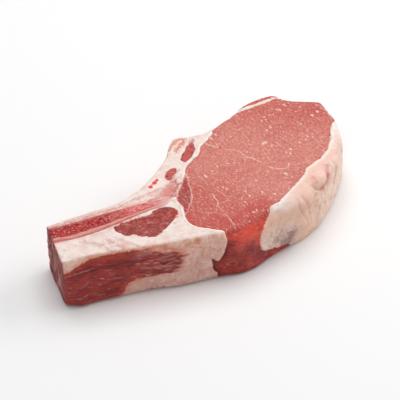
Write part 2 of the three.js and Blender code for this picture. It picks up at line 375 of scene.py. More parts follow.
# Lines on the upper cut face: threads of fat in the eye, then red strands in the fat.
VEINS = (
    Mark(((15.4, 24.9), (15.9, 21.5), (17.6, 17.7), (18.9, 15.5)), 0.3, 1.3),
    Mark(((19.5, 13.9), (24.2, 8.8), (24.9, 3)), 0.3, 0.95),
    Mark(((24.9, 3), (26, 2.2), (28.6, -3.3)), 0.36, 1.2),
    Mark(((24.9, 3), (22.6, 1.6), (20.4, -1.5)), 0.22, 0.5),
    Mark(((29.5, -7.9), (31, -10.3), (35.8, -12.9), (37.5, -11.2)), 0.4, 1.3),
    Mark(((37.5, -11.2), (40, -13.5), (44, -14.5)), 0.3, 0.6),
    Mark(((-1.9, -7.1), (-2.2, -11.5)), 0.34, 1.1),
    Mark(((-2.2, -11.5), (-4, -14), (-3.9, -17.6)), 0.3, 0.9),
    Mark(((-3.9, -17.6), (-4.5, -22.8), (-5.5, -28.8)), 0.26, 0.9),
    Mark(((-2.6, -13), (1, -13.6), (4.5, -12.4)), 0.2, 0.6),
    Mark(((-7.5, -17), (-5.2, -14.6), (-4.2, -13.6)), 0.2, 0.5),
    Mark(((4.6, 16.2), (3.8, 11.6), (1.5, 7)), 0.2, 0.6),
    Mark(((-2.7, 10.3), (-0.7, 7.7), (0.6, 3.2), (-0.5, -2)), 0.2, 0.6),
    Mark(((-3.3, 8.7), (-3.7, 3.5), (-2.4, -2.4)), 0.18, 0.5),
    Mark(((14.4, -10.5), (11, -15), (12.5, -19)), 0.2, 0.5),
    Mark(((8, 4), (10, 0), (9.5, -5)), 0.17, 0.4),
    Mark(((-12, -14), (-7, -17), (-4.2, -22.5)), 0.17, 0.35),
    Mark(((72.4, 12.6), (73.4, 6), (72.3, 1)), 0.7, 0.6),
)
# Flecks of fat in the eye, and painted glints among them: a place and a size.
FLECKS_AND_GLINTS = (
    (32.5, -15.7, 1.0), (33.5, -18.8, 0.7), (30.4, -20.5, 0.7), (28.1, -23.5, 0.6), (37.7, 6.4, 0.9),
    (45.7, 13, 0.7), (47.6, 20, 0.7), (50.3, 19.7, 0.6), (55.6, 20.9, 0.7), (60.6, 21.6, 1.0),
    (65.5, 15.9, 0.6), (69.7, 8.6, 0.9), (55.6, -1.7, 0.7), (53.6, -3.4, 0.7), (42.4, -6.5, 0.9),
    (44.3, -4.2, 0.8), (41.4, -4.5, 0.6), (22.4, 23.9, 0.9), (19.6, 22.8, 0.9), (19, 17.9, 0.6),
    (27, 18.1, 0.6), (2.6, 4.2, 1.0), (6.7, 5, 0.6), (15.3, 4.9, 0.6), (10.5, 6.3, 0.6),
    (13, 2.5, 0.6), (18.1, 3.4, 0.6), (11.3, 18.5, 0.6), (-3.6, 8.7, 0.6), (52.2, 19.4, 0.6),
    (56.6, 20, 0.9), (61.7, 14.5, 0.6), (66.1, 7.7, 1.0), (47.1, 18.2, 0.6), (45, 18.6, 0.6),
    (43.1, 11.9, 0.7), (36.4, 6.2, 0.9), (27, 6, 0.6), (50.2, -3.1, 0.6), (52.2, 22.7, 0.6),
    (5, -8.2, 0.7), (11.3, -13.8, 0.7), (11.2, -17, 0.7), (2.1, -14.3, 0.6), (6.6, -25.6, 0.7),
    (8.6, -25.8, 0.7), (19.3, -11.2, 0.7), (5.7, -20.4, 0.6), (7.3, -18.9, 0.6), (38.5, 2.6, 0.6),
    (17.2, -18.5, 0.7), (24, -16.5, 0.6), (27, -9.5, 0.7), (4.4, -6.4, 0.6), (13.2, 12.4, 0.5),
    (30.8, 9.4, 0.5), (48.6, 6.8, 0.6), (58.2, 6.2, 0.6), (52.6, 12.4, 0.5), (21, -22.4, 0.7),
)
STRANDS = (
    Mark(((-63.1, 2.3), (-59.7, -2), (-55.5, -5.8), (-52, -9.8), (-49.2, -13.3)), 0.7, 0.45),
    Mark(((-54.9, -3.3), (-53.1, -8.3), (-50.5, -12)), 1.0, 0.5),
    Mark(((-59.9, -0.8), (-58.3, -5.3), (-56.5, -8.7)), 0.5, 0.4),
    Mark(((-50.5, -4.5), (-48.6, -8.6), (-45.6, -13.6)), 0.6, 0.4),
    Mark(((-38.8, 11.2), (-32.4, 11.2), (-23.5, 10.1), (-15.6, 9.8), (-9.5, 8.5)), 0.5, 0.5),
    Mark(((-26, 6.5), (-20.3, 5.5), (-17.3, 4.9)), 0.7, 0.7),
    Mark(((-70, 17.6), (-52, 13.8), (-38, 10.8)), 0.4, 0.5),
    Mark(((-16.2, 3.6), (-13.3, 6.2), (-10.3, 9)), 1.7, 1.0),
    Mark(((1.2, 25.3), (3.7, 26.5), (6, 27.6), (7.9, 28.5)), 0.75, 0.75),
    Mark(((-1, 27.5), (1.5, 29), (4.1, 30.4), (7, 30.6), (9.5, 29.5)), 0.35, 0.7),
    Mark(((12, 27.2), (10.2, 25.6)), 0.7, 0.8),
    Mark(((-11.9, 11), (-8, 12.8), (-4.6, 14.9)), 0.35, 0.6),
)
# Lines on the skin side's wall: creases in the fat, then fibres in the flank's lean.
CREASES = (
    Mark(((-17.8, 28), (-18, 25.1), (-17.9, 20.9)), 0.22, 0.8),
    Mark(((-20.8, 24.6), (-19.8, 23.5), (-19.4, 22.5), (-21, 19.7), (-22, 16.8)), 0.22, 0.5),
    Mark(((-22.8, 17.4), (-24, 14.4), (-24.4, 11.4), (-23.4, 9.5), (-21.9, 7.7)), 0.26, 0.8),
    Mark(((28.4, 28.5), (26.9, 24.3), (28.2, 20), (29.6, 16.9), (32.4, 11.1)), 0.35, 0.7),
    Mark(((53.9, 29.5), (55, 24.9), (56.1, 19.7), (54.5, 14.5)), 0.3, 0.6),
    Mark(((35.9, 29.5), (36.7, 27.6), (40.8, 23), (44.2, 21.3), (46.9, 21.9), (49, 24.5)), 0.4, 1.0),
    Mark(((30.3, 29.5), (29.6, 27), (32.5, 21.1), (33.9, 15.9), (34.7, 11.1)), 0.4, 0.8),
    Mark(((44.2, 21.3), (45.6, 17.6), (44.4, 14.2), (46.2, 10.8)), 0.25, 0.6),
    Mark(((49, 24.5), (50.8, 20.6), (50.2, 16.8)), 0.25, 0.6),
    Mark(((61, 28.5), (61.8, 23), (60.4, 18.4), (62, 13)), 0.25, 0.5),
    Mark(((38.6, 16.4), (41, 12.8), (40.2, 8.6)), 0.2, 0.5),
)
# Bumps of the cap's wall: a place, the radius that it reaches, and its rise.
BUMPS = (
    (42.5, -27.5, 26, 4.6, 0.6), (24, -31.5, 19, 8, 0.5), (50.5, -24, 20.5, 3.2, 0.55),
    (46.5, -26, 15, 3.2, 0.45), (56.5, -21, 24, 3.4, 0.6), (60.5, -18, 16.5, 3.4, 0.5),
    (53, -22.5, 11.5, 3.2, 0.4), (66, -12, 21, 3.4, 0.5), (39, -29, 17, 3.2, 0.35),
    (42, -27.5, 8.5, 3.4, 0.35), (34, -30, 24.5, 3.4, 0.5), (65, -13, 11, 3, 0.35),
)
FIBRES = (
    Mark(((-77, 18.5), (-70.3, 20), (-67.7, 19.9)), 0.3, 0.7),
    Mark(((-65.1, 15.6), (-61.2, 13.3), (-55, 12.2), (-48.9, 11.1)), 0.3, 0.8),
    Mark(((-76, 12), (-70, 11.4), (-64, 8), (-60, 3)), 0.25, 0.6),
    Mark(((-66, 20.5), (-60, 18), (-52, 17)), 0.25, 0.5),
    Mark(((-48, 18.5), (-40, 17.6), (-33, 18.4)), 0.4, 0.8),
    Mark(((-46, 15.6), (-40, 14.6), (-34, 15)), 0.3, 0.9),
    Mark(((-74, 5), (-68, 6.6), (-62, 4)), 0.3, 0.5),
)

# Soft round stains: a place, the radius that it reaches, and its strength.
STAINS = {
    "blood": (
        (-21.2, 13.1, TOP, 1.2, 1), (-18.4, 14.1, TOP, 1.3, 1), (-16.2, 14.9, TOP, 1.0, 0.9),
        (-21.3, -6.9, TOP, 1.0, 1.3), (-23.4, -6.3, TOP, 0.8, 1), (-65, 3.3, TOP, 0.6, 1),
        (-20.3, 2.4, TOP, 0.6, 1), (-8.8, 7.2, TOP, 0.8, 0.8), (-7.6, 6.4, TOP, 0.6, 0.6),
        (18.9, 15.4, TOP, 0.9, 1.1), (29.4, -5.2, TOP, 0.6, 0.6), (31, -7.4, TOP, 0.4, 0.5),
        (47, -4.5, TOP, 0.5, 0.5), (-20.5, -9, TOP, 1.2, 0.3), (-41, -20, 2.8, 0.8, 0.5),
        (1, -9.5, TOP, 0.5, 0.4),
    ),
    "blush": (
        (-14.5, 7.5, TOP, 3.4, 0.75), (-18.5, 5.4, TOP, 3.2, 0.6), (-23, 8.4, TOP, 3, 0.45),
        (-30, 10.8, TOP, 3, 0.4), (-9.4, 11.6, TOP, 2, 0.4), (-38, 12.4, TOP, 3, 0.35),
        (-48, 14.6, TOP, 3, 0.35), (-55, -2, TOP, 3.5, 0.3), (-51, -9, TOP, 3, 0.45),
        (-22.5, -8.5, TOP, 1.4, 0.7), (-25.3, -11.2, TOP, 1.4, 0.5), (-45, 2.2, TOP, 1.8, 0.5),
        (-40, 1.9, TOP, 1.8, 0.55), (-35.5, 1.2, TOP, 1.6, 0.5), (-16.3, -28.1, 19.4, 1.2, 0.6),
        (-22.9, -26, 7.1, 0.7, 0.7), (-62, 17, TOP, 3, 0.3), (-32.4, -20, 12.4, 1.6, 0.5),
        (-29.5, -21, 16.2, 1.8, 0.55), (-29, -23, 2.8, 1.2, 0.6), (40.3, -25.5, 26.8, 3, 0.6),
        (44.7, -27.2, 22.1, 3, 0.85), (49.3, -25, 24, 2.6, 0.8), (51, -21.5, 26.8, 2.6, 0.6),
        (38, -30, 21, 3, 0.45), (62, -16, 14, 5, 0.25), (52, -24, 10, 5, 0.25), (4, 29.4, TOP, 2.4, 0.35),
        (-16, -27.5, 24, 2.2, 0.3), (-12, -28, 10, 2.0, 0.25), (11, 27, TOP, 2.4, 0.45),
    ),
    "amber": (
        (-45, -15.5, 27, 2.6, 0.5), (-41, -17.2, 26.2, 2.8, 0.75), (-36, -19.4, 24.8, 2.8, 0.85),
        (-31.5, -21, 22.6, 2.8, 0.8), (-28.4, -22.4, 19.4, 2.4, 0.7), (-28, -22.4, 15.6, 2.2, 0.6),
        (-31, -21, 11.6, 2.2, 0.5), (-38, -18.6, 9, 2.4, 0.5), (-16, -27, 27, 2.4, 0.5),
        (-22, -24.5, 26.6, 2.6, 0.45), (-70, -6, 26, 4, 0.3), (-46, -15.6, 8, 2.4, 0.4),
        (-27, -23, 24.5, 2.2, 0.7), (-23, -25, 25, 2, 0.7), (10.5, 25.6, TOP, 1.2, 0.7),
    ),
    "nick": (
        (-46, -16.6, 1.2, 1.2, 0.7), (-44.2, -17.2, 2.2, 0.9, 0.8), (-42.4, -17.8, 1.4, 1.0, 0.9),
        (-40.2, -18.6, 2.4, 0.9, 0.7), (-37.4, -19.6, 1.6, 1.0, 0.8), (-14.8, -29, 8.6, 0.7, 0.5),
    ),
    "bruise": (
        (17.4, -32.5, 15, 2.6, 0.5), (14.8, -32.5, 10.1, 3, 0.7), (22.5, -32.5, 7.6, 3.4, 1.0),
        (20, -32.5, 4.4, 3.2, 1.0), (25.6, -32.5, 10.4, 2.8, 0.6), (11, -32.5, 17, 2.4, 0.4),
        (-56.5, 2, TOP, 2.0, 0.3), (9, -32.5, 12, 2.4, 0.3), (-52, -4, TOP, 3, 0.3),
    ),
}


class Form:
    """The whole chop's surface: a unit box laid between the two rims, with its edges rounded."""

    STEPS = (400, 150, 54)

    def __init__(self, plan: ChopPlan) -> None:
        """Measures both rims by their arc length."""
        self.plan = plan
        names = ("chine_rim", "skin_rim")
        self.rims = {name: smooth_line(getattr(plan, name), per_span=24) for name in names}
        runs = {k: np.linalg.norm(np.diff(v, axis=0), axis=1) for k, v in self.rims.items()}
        self.reached = {k: np.concatenate([[0], np.cumsum(v)]) for k, v in runs.items()}
        self.length = sum(v[-1] for v in self.reached.values()) / 2

    def rim(self, name: str, share: Array) -> Array:
        """Places on a rim at shares of its arc length."""
        reached = self.reached[name]
        return np.stack([np.interp(share * reached[-1], reached, v) for v in self.rims[name].T], axis=1)

    def wall(self, name: str, share: Array, height: Array) -> Array:
        """A rim's wall at a height.

        The wall is the rim moved along its outward normal by a flare, which is largest at the foot,
        and by a bulge, a parabola over the height.

        Args:
            name: Which rim.
            share: Share of the rim's length.
            height: Height above the lower cut face.

        Returns:
            Plan places shaped (n, 2).
        """
        plan, step = self.plan, 0.002
        place = self.rim(name, share)
        run = self.rim(name, np.clip(share + step, 0, 1)) - self.rim(name, np.clip(share - step, 0, 1))
        run /= np.linalg.norm(run, axis=1, keepdims=True)
        rise = height / plan.thickness
        flares = np.array(plan.skin_flare if name == "skin_rim" else plan.chine_flare)
        flare = np.interp(place[:, 0], flares[:, 0], flares[:, 1]) * (1 - rise)
        out = (flare + 4 * plan.bulge * rise * (1 - rise)) * (-1 if name == "skin_rim" else 1)
        return place + np.stack([-run[:, 1], run[:, 0]], axis=1) * out[:, None]

    def lay(self, unit: Array) -> Array:
        """Moves points of a unit box onto the chop.

        Each edge is rounded as a quarter of an ellipsoid by the radii near it. The point's share of
        the length then picks a place on both rims' walls, and its share across blends between them.

        Args:
            unit: Points of the box, each coordinate 0 to 1, shaped (n, 3).

        Returns:
            Places on the chop, shaped (n, 3).
        """
        plan = self.plan
        share, across, up = unit.T
        skin = self.rim("skin_rim", share)
        width = np.linalg.norm(skin - self.rim("chine_rim", share), axis=1)
        radii = np.array(plan.skin_radius)
        edge = np.where(across < 0.5, np.interp(skin[:, 0], radii[:, 0], radii[:, 1]), plan.chine_radius)
        side = np.where(up < 0.5, plan.foot_radius, edge)
        end = np.where(share < 0.5, plan.sawn_radius, plan.far_radius)
        size = np.stack([np.full_like(width, self.length), width, np.full_like(width, plan.thickness)], 1)
        radius = np.stack([end, side, side], axis=1)
        straight = unit * size
        core = np.clip(straight, radius, size - radius)
        off = (straight - core) / radius
        reach = np.linalg.norm(off, axis=1, keepdims=True)
        placed = core + off / np.maximum(reach, 1e-9) * radius * (reach > 1e-9)
        at = np.clip(placed[:, 0] / self.length, 0, 1)
        height = placed[:, 2]
        blend = (placed[:, 1] / width)[:, None]
        place = self.wall("skin_rim", at, height) * (1 - blend) + self.wall("chine_rim", at, height) * blend
        x = place[:, 0] + plan.far_flare * (1 - height / plan.thickness) * at**12
        y = place[:, 1] - self.lumps(x, height) * (1 - smoothstep(placed[:, 1], 0, 5))
        near_top = smoothstep(height, plan.thickness * 0.6, plan.thickness)
        return np.stack([x, y, height + self.wave(x, y) * near_top], axis=1)

    def wave(self, x: Array, y: Array) -> Array:
        """Slow rise and fall of the upper cut face: a product of two waves in plan."""
        k = 2 * math.pi / self.plan.wave_length
        return self.plan.wave_height * (np.sin(k * x + 0.6) * np.cos(1.3 * k * y) - 0.4)

    def lumps(self, x: Array, z: Array) -> Array:
        """Soft lumps of the fat cap's wall: a product of two slanted waves, faded at its ends."""
        k = 2 * math.pi / self.plan.lump_length
        on_cap = smoothstep(x, 14, 26) * (1 - smoothstep(x, 62, 72)) * smoothstep(z, 1, 6)
        return self.plan.lump_height * np.sin(k * x + 0.25 * z) * np.cos(0.8 * k * z - 0.1 * x) * on_cap

    def lattice(self) -> tuple[Array, Array]:
        """The unit box's surface as a closed lattice.

        Returns:
            Its points, shaped (n, 3), and its outward quads, shaped (m, 4).
        """
        steps = np.array(self.STEPS)
        corners = []
        for axis in range(3):
            first, second = (axis + 1) % 3, (axis + 2) % 3
            a, b = np.meshgrid(np.arange(steps[first]), np.arange(steps[second]), indexing="ij")
            a, b = a.ravel(), b.ravel()
            for far in (False, True):
                ring = [(0, 0), (1, 0), (1, 1), (0, 1)] if far else [(0, 0), (0, 1), (1, 1), (1, 0)]
                quad = np.zeros((len(a), 4, 3), np.int64)
                for k, (da, db) in enumerate(ring):
                    quad[:, k, axis] = steps[axis] * far
                    quad[:, k, first] = a + da
                    quad[:, k, second] = b + db
                corners.append(quad)
        quads = np.concatenate(corners)
        spans = steps + 1
        keys = (quads[..., 0] * spans[1] + quads[..., 1]) * spans[2] + quads[..., 2]
        found, index = np.unique(keys, return_inverse=True)
        lattice = np.stack(np.unravel_index(found, spans), axis=1) / steps
        return lattice, index.reshape(quads.shape[:2])

    @staticmethod
    def normals(places: Array, quads: Array) -> Array:
        """Unit normals of a mesh's points: the mean of the quads round each, weighted by their areas."""
        across = places[quads[:, 2]] - places[quads[:, 0]]
        down = places[quads[:, 3]] - places[quads[:, 1]]
        facing = np.cross(across, down)
        total = np.zeros_like(places)
        for corner in range(4):
            for axis in range(3):
                total[:, axis] += np.bincount(quads[:, corner], facing[:, axis], len(places))
        return total / np.maximum(np.linalg.norm(total, axis=1, keepdims=True), 1e-12)


class Outlines:
    """The closed outlines of every cut, in plan and on the skin side's wall."""

    INSETS = ("rib_bone", "rib_lean", "chine_bone", "chine_lean_upper", "chine_lean_lower")

    def __init__(self, plan: ChopPlan) -> None:
        """Samples each seam and closes it round the part of the chop on its own side."""
        rib_corners = ((24.5, PAST), (-110, PAST), (-110, -PAST), (-10.7, -PAST))
        self.rib_side = self._closed(plan.rib_seam, *rib_corners)
        self.cap_side = self._closed(plan.cap_seam, (10, -PAST), (110, -PAST), (110, 1.3))
        self.edge_side = self._closed(plan.edge_inner, (66, 27), (66, PAST), (36.5, PAST))
        self.edge_lean = self._closed(plan.edge_outer, (66, 29), (66, PAST), (39, PAST))
        self.inner_side = self._closed(plan.inner_seam, (-30, -11.5), (-30, 11.9))
        self.insets = {name: Region(smooth_line(getattr(plan, name), closed=True)) for name in self.INSETS}
        self.flank = self._closed(plan.flank, (-88, -1))
        right = smooth_line(plan.toe_right)
        self.toe = Region(np.vstack([smooth_line(plan.toe_left), right]))
        self.cap_lobe = Region(np.vstack([right, [(30, 28.5), (30, -1)]]))
        self.skin = Line(plan.skin_rim)
        chine = smooth_line(plan.chine_rim)
        self.back = Line(np.vstack([plan.skin_rim[-1:], chine[::-1], plan.skin_rim[:1]]), per_span=1)

    @staticmethod
    def _closed(seam: Points, *corners: tuple[float, float]) -> Region:
        """The region between a seam and the corners past the chop."""
        return Region(np.vstack([smooth_line(seam), corners]))

    def band(self, depth: float) -> Region:
        """The strip within a depth of the skin side's rim, and all that lies past the rim."""
        path = self.skin.path
        run = np.gradient(path, axis=0)
        run /= np.linalg.norm(run, axis=1, keepdims=True)
        inner = path + np.stack([-run[:, 1], run[:, 0]], axis=1) * depth
        right = [(2 * PAST, inner[-1, 1]), (2 * PAST, -PAST)]
        left = [(-2 * PAST, -PAST), (-2 * PAST, inner[0, 1])]
        return Region(np.vstack([inner, right, left]))


@dataclass
class Sample:
    """What the tissue is at each of many points.

    lean, inner, rib, bone, chine and flank are signed distances to those layers, positive inside.
    The others are shares of 0 to 1, but rib_share, which runs across the rib from its upper edge to
    its lower one, section, which is above 0 inside the rib's oval on the sawn end, and lobule, which
    is 0 in the furrows between the cap's lobules.
    """

    lean: Array
    inner: Array
    rib: Array
    dark: Array
    bone: Array
    chine: Array
    rib_share: Array
    flank: Array
    ruddy_and_shade: Array
    wall: Array
    end: Array
    section: Array
    lip: Array
    lobule: Array


class Tissue:
    """The layers as signed distances in space, from the same outlines that cut the pieces."""

    def __init__(self, plan: ChopPlan, outlines: Outlines) -> None:
        """Keeps the outlines, the rib's two edges and the noise that roughens the seams."""
        self.plan = plan
        self.outlines = outlines
        self.rib_upper = np.array(plan.rib_bone[:5])
        self.rib_lower = np.array(plan.rib_bone[5:][::-1])
        self.tear, self.streak, self.lobe = Noise(41), Noise(43), Noise(47)

    def sawn_end(self, p: Array, wall: Array) -> tuple[Array, Array]:
        """Where the sawn end is, and the oval section of the rib on it.

        The end's share fades with the distance from the straight line between the two rims' starts.
        The section is 1 less the place's distance from the oval's middle, in its half axes.

        Args:
            p: Points shaped (n, 3).
            wall: The walls' share.

        Returns:
            The end's share and the section.
        """
        start, stop = (np.array(rim[0], float) for rim in (self.plan.skin_rim, self.plan.chine_rim))
        along = (stop - start) / np.linalg.norm(stop - start)
        way = p[:, :2] - start
        inside = way @ np.array([along[1], -along[0]])
        middle, half = (15.8, 0.6 * TOP), (4.8, 10.0)
        across = (way @ along - middle[0]) / half[0]
        section = 1 - np.hypot(across, (p[:, 2] - middle[1]) / half[1])
        return wall * (1 - smoothstep(inside, 0.3, 1.0)), section

    def lobules(self, p: Array, wall: Array) -> Array:
        """The furrows between the lobules of the cap's wall: borders of bent cells, 1 elsewhere."""
        gap = np.ones(len(p))
        near = np.flatnonzero((wall > 0) & (p[:, 0] > 26))
        place = p[near]
        bend = np.stack([self.streak.at(place / 6 + 7 * k) for k in range(3)], axis=1)
        gap[near] = self.lobe.lobes((place + 1.8 * bend) / 4.8)
        return gap

    def wall_layers(self, p: Array, depth: Array, tear: Array) -> tuple[Array, Array, Array]:
        """The layers outlined on the skin side's wall, each as deep into it as its own depth.

        Args:
            p: Points shaped (n, 3).
            depth: How far in from the skin side's rim they are.
            tear: Noise that tears the seams.

        Returns:
            Signed distances to the eye's front, the cap's lobe over it and the flank's lean.
        """
        o, plan, xz = self.outlines, self.plan, p[:, [0, 2]]
        toe = np.minimum(o.toe.signed(xz) + 0.35 * tear, plan.toe_depth - depth)
        lobe = np.minimum(o.cap_lobe.signed(xz), plan.lobe_depth - depth)
        flank = np.minimum(o.flank.signed(xz), plan.flank_depth - depth)
        streak = self.streak.layered(p / np.array([8.0, 8.0, 1.1]), 3)
        flank += streak * (0.3 + 2.2 * smoothstep(p[:, 0], -58, -34)) + 0.6 * tear
        return toe, lobe, flank

    def islands(self, p: Array, flank: Array, tear: Array) -> Array:
        """The small dark muscles, joined with the flank.

        Args:
            p: Points shaped (n, 3).
            flank: Signed distance to the flank's lean.
            tear: Noise that tears the seams.

        Returns:
            The signed distance to all of them.
        """
        insets, xy = self.outlines.insets, p[:, :2]
        ragged = 0.25 + 0.6 * (1 - smoothstep(p[:, 0], -38, -28))
        return np.maximum.reduce([
            insets["rib_lean"].signed(xy) + tear * ragged,
            insets["chine_lean_upper"].signed(xy) + 0.4 * tear,
            insets["chine_lean_lower"].signed(xy) + 0.5 * tear,
            flank,
        ])

    def wall(self, x: Array, depth: Array, back: Array) -> Array:
        """How much of a wall the surface is: all of it within about an eighth of the rim's radius."""
        skin = depth / np.interp(x, *np.transpose(self.plan.skin_radius))
        return 1 - smoothstep(np.minimum(skin, back / self.plan.chine_radius), 0.13, 0.47)

    def rib_share(self, x: Array, y: Array) -> Array:
        """Share of the way across the rib from its upper edge, where a line along Y crosses both."""
        upper, lower = (np.interp(x, *edge.T) for edge in (self.rib_upper, self.rib_lower))
        return np.clip((upper - y) / np.maximum(upper - lower, 1.0), -0.5, 1.5)

    @staticmethod
    def ruddy_and_shade(p: Array, rib: Array, depth: Array) -> Array:
        """How much redder the eye is: by the rib's fat, where it is partly painted shade beside the fat's
        raised lip, at its front, and towards two of its corners.

        Args:
            p: Points shaped (n, 3).
            rib: Signed distance to the rib's fat.
            depth: How far in from the skin side's rim they are.

        Returns:
            Shares of 0 to 1.
        """
        x, y = p[:, 0], p[:, 1]
        # beside the rib's fat: redder flesh, and painted shade under the fat's raised lip
        red_and_shade_at_rib = np.exp(-np.maximum(-rib, 0) / 1.5)
        front = (1 - smoothstep(depth, 2, 12)) * smoothstep(x, -18, -8) * (1 - smoothstep(x, 12, 20))
        broad = 0.6 * smoothstep(-0.6 * y - x, -18, 10) + 0.55 * smoothstep(x + y, 40, 80)
        return np.clip(0.55 * red_and_shade_at_rib + 0.8 * front + broad, 0, 1)

    def at(self, p: Array) -> Sample:
        """The layers at points.

        Joining two layers takes the larger of their signed distances, overlapping them takes the
        smaller, and taking one away flips its sign first. Noise added to a distance tears its seam.

        Args:
            p: Points shaped (n, 3).

        Returns:
            The signed distances and shares of each layer.
        """
        o, xy, x = self.outlines, p[:, :2], p[:, 0]
        _, depth = o.skin.near(xy, within=20.0)
        _, back = o.back.near(xy)
        tear = self.tear.layered(p / 2.6, 4)
        toe, lobe, flank = self.wall_layers(p, depth, tear)
        rib = np.minimum(o.rib_side.signed(xy), -toe)
        cap = np.minimum(np.maximum(o.cap_side.signed(xy), lobe), -toe)
        edge_lean = o.edge_lean.signed(xy)
        edge = 0.2 + np.minimum(o.edge_side.signed(xy), -edge_lean)
        loin = -np.maximum.reduce([rib, cap, edge, edge_lean])
        islands = self.islands(p, flank, tear)
        at_cap = smoothstep(cap, -3.0, -1.0) * smoothstep(depth, 0.5, 2.0)
        at_chine = 1 - smoothstep(back, 2.0, 6.0)
        torn = at_cap * (0.3 + 0.45 * smoothstep(x, 32, 44))
        loin += tear * (0.12 + torn + 0.6 * at_chine) + self.streak.at(p / 4.2) * 0.9 * at_chine
        wall = self.wall(x, depth, back)
        end, section = self.sawn_end(p, wall)
        # the lips are raised in the relief, and the fat's material paints them whiter as a highlight
        rib_lip = np.exp(-((rib - 0.55) / 0.6) ** 2)
        cap_lip = np.exp(-((cap - 0.7) / 0.8) ** 2)
        return Sample(
            lean=np.maximum.reduce([loin, edge_lean + 0.3 * tear - 0.2, islands]),
            inner=np.minimum(o.inner_side.signed(xy), -o.rib_side.signed(xy)) + 0.3 * tear,
            rib=rib,
            dark=smoothstep(np.maximum(islands, edge_lean) - loin, -0.6, 0.6),
            bone=o.insets["rib_bone"].signed(xy),
            chine=o.insets["chine_bone"].signed(xy),
            rib_share=self.rib_share(x, p[:, 1]),
            flank=flank,
            ruddy_and_shade=self.ruddy_and_shade(p, rib, depth),
            wall=wall,
            end=end,
            section=section,
            lip=rib_lip * (1 - wall) + 0.8 * at_cap * cap_lip,
            lobule=self.lobules(p, wall),
        )


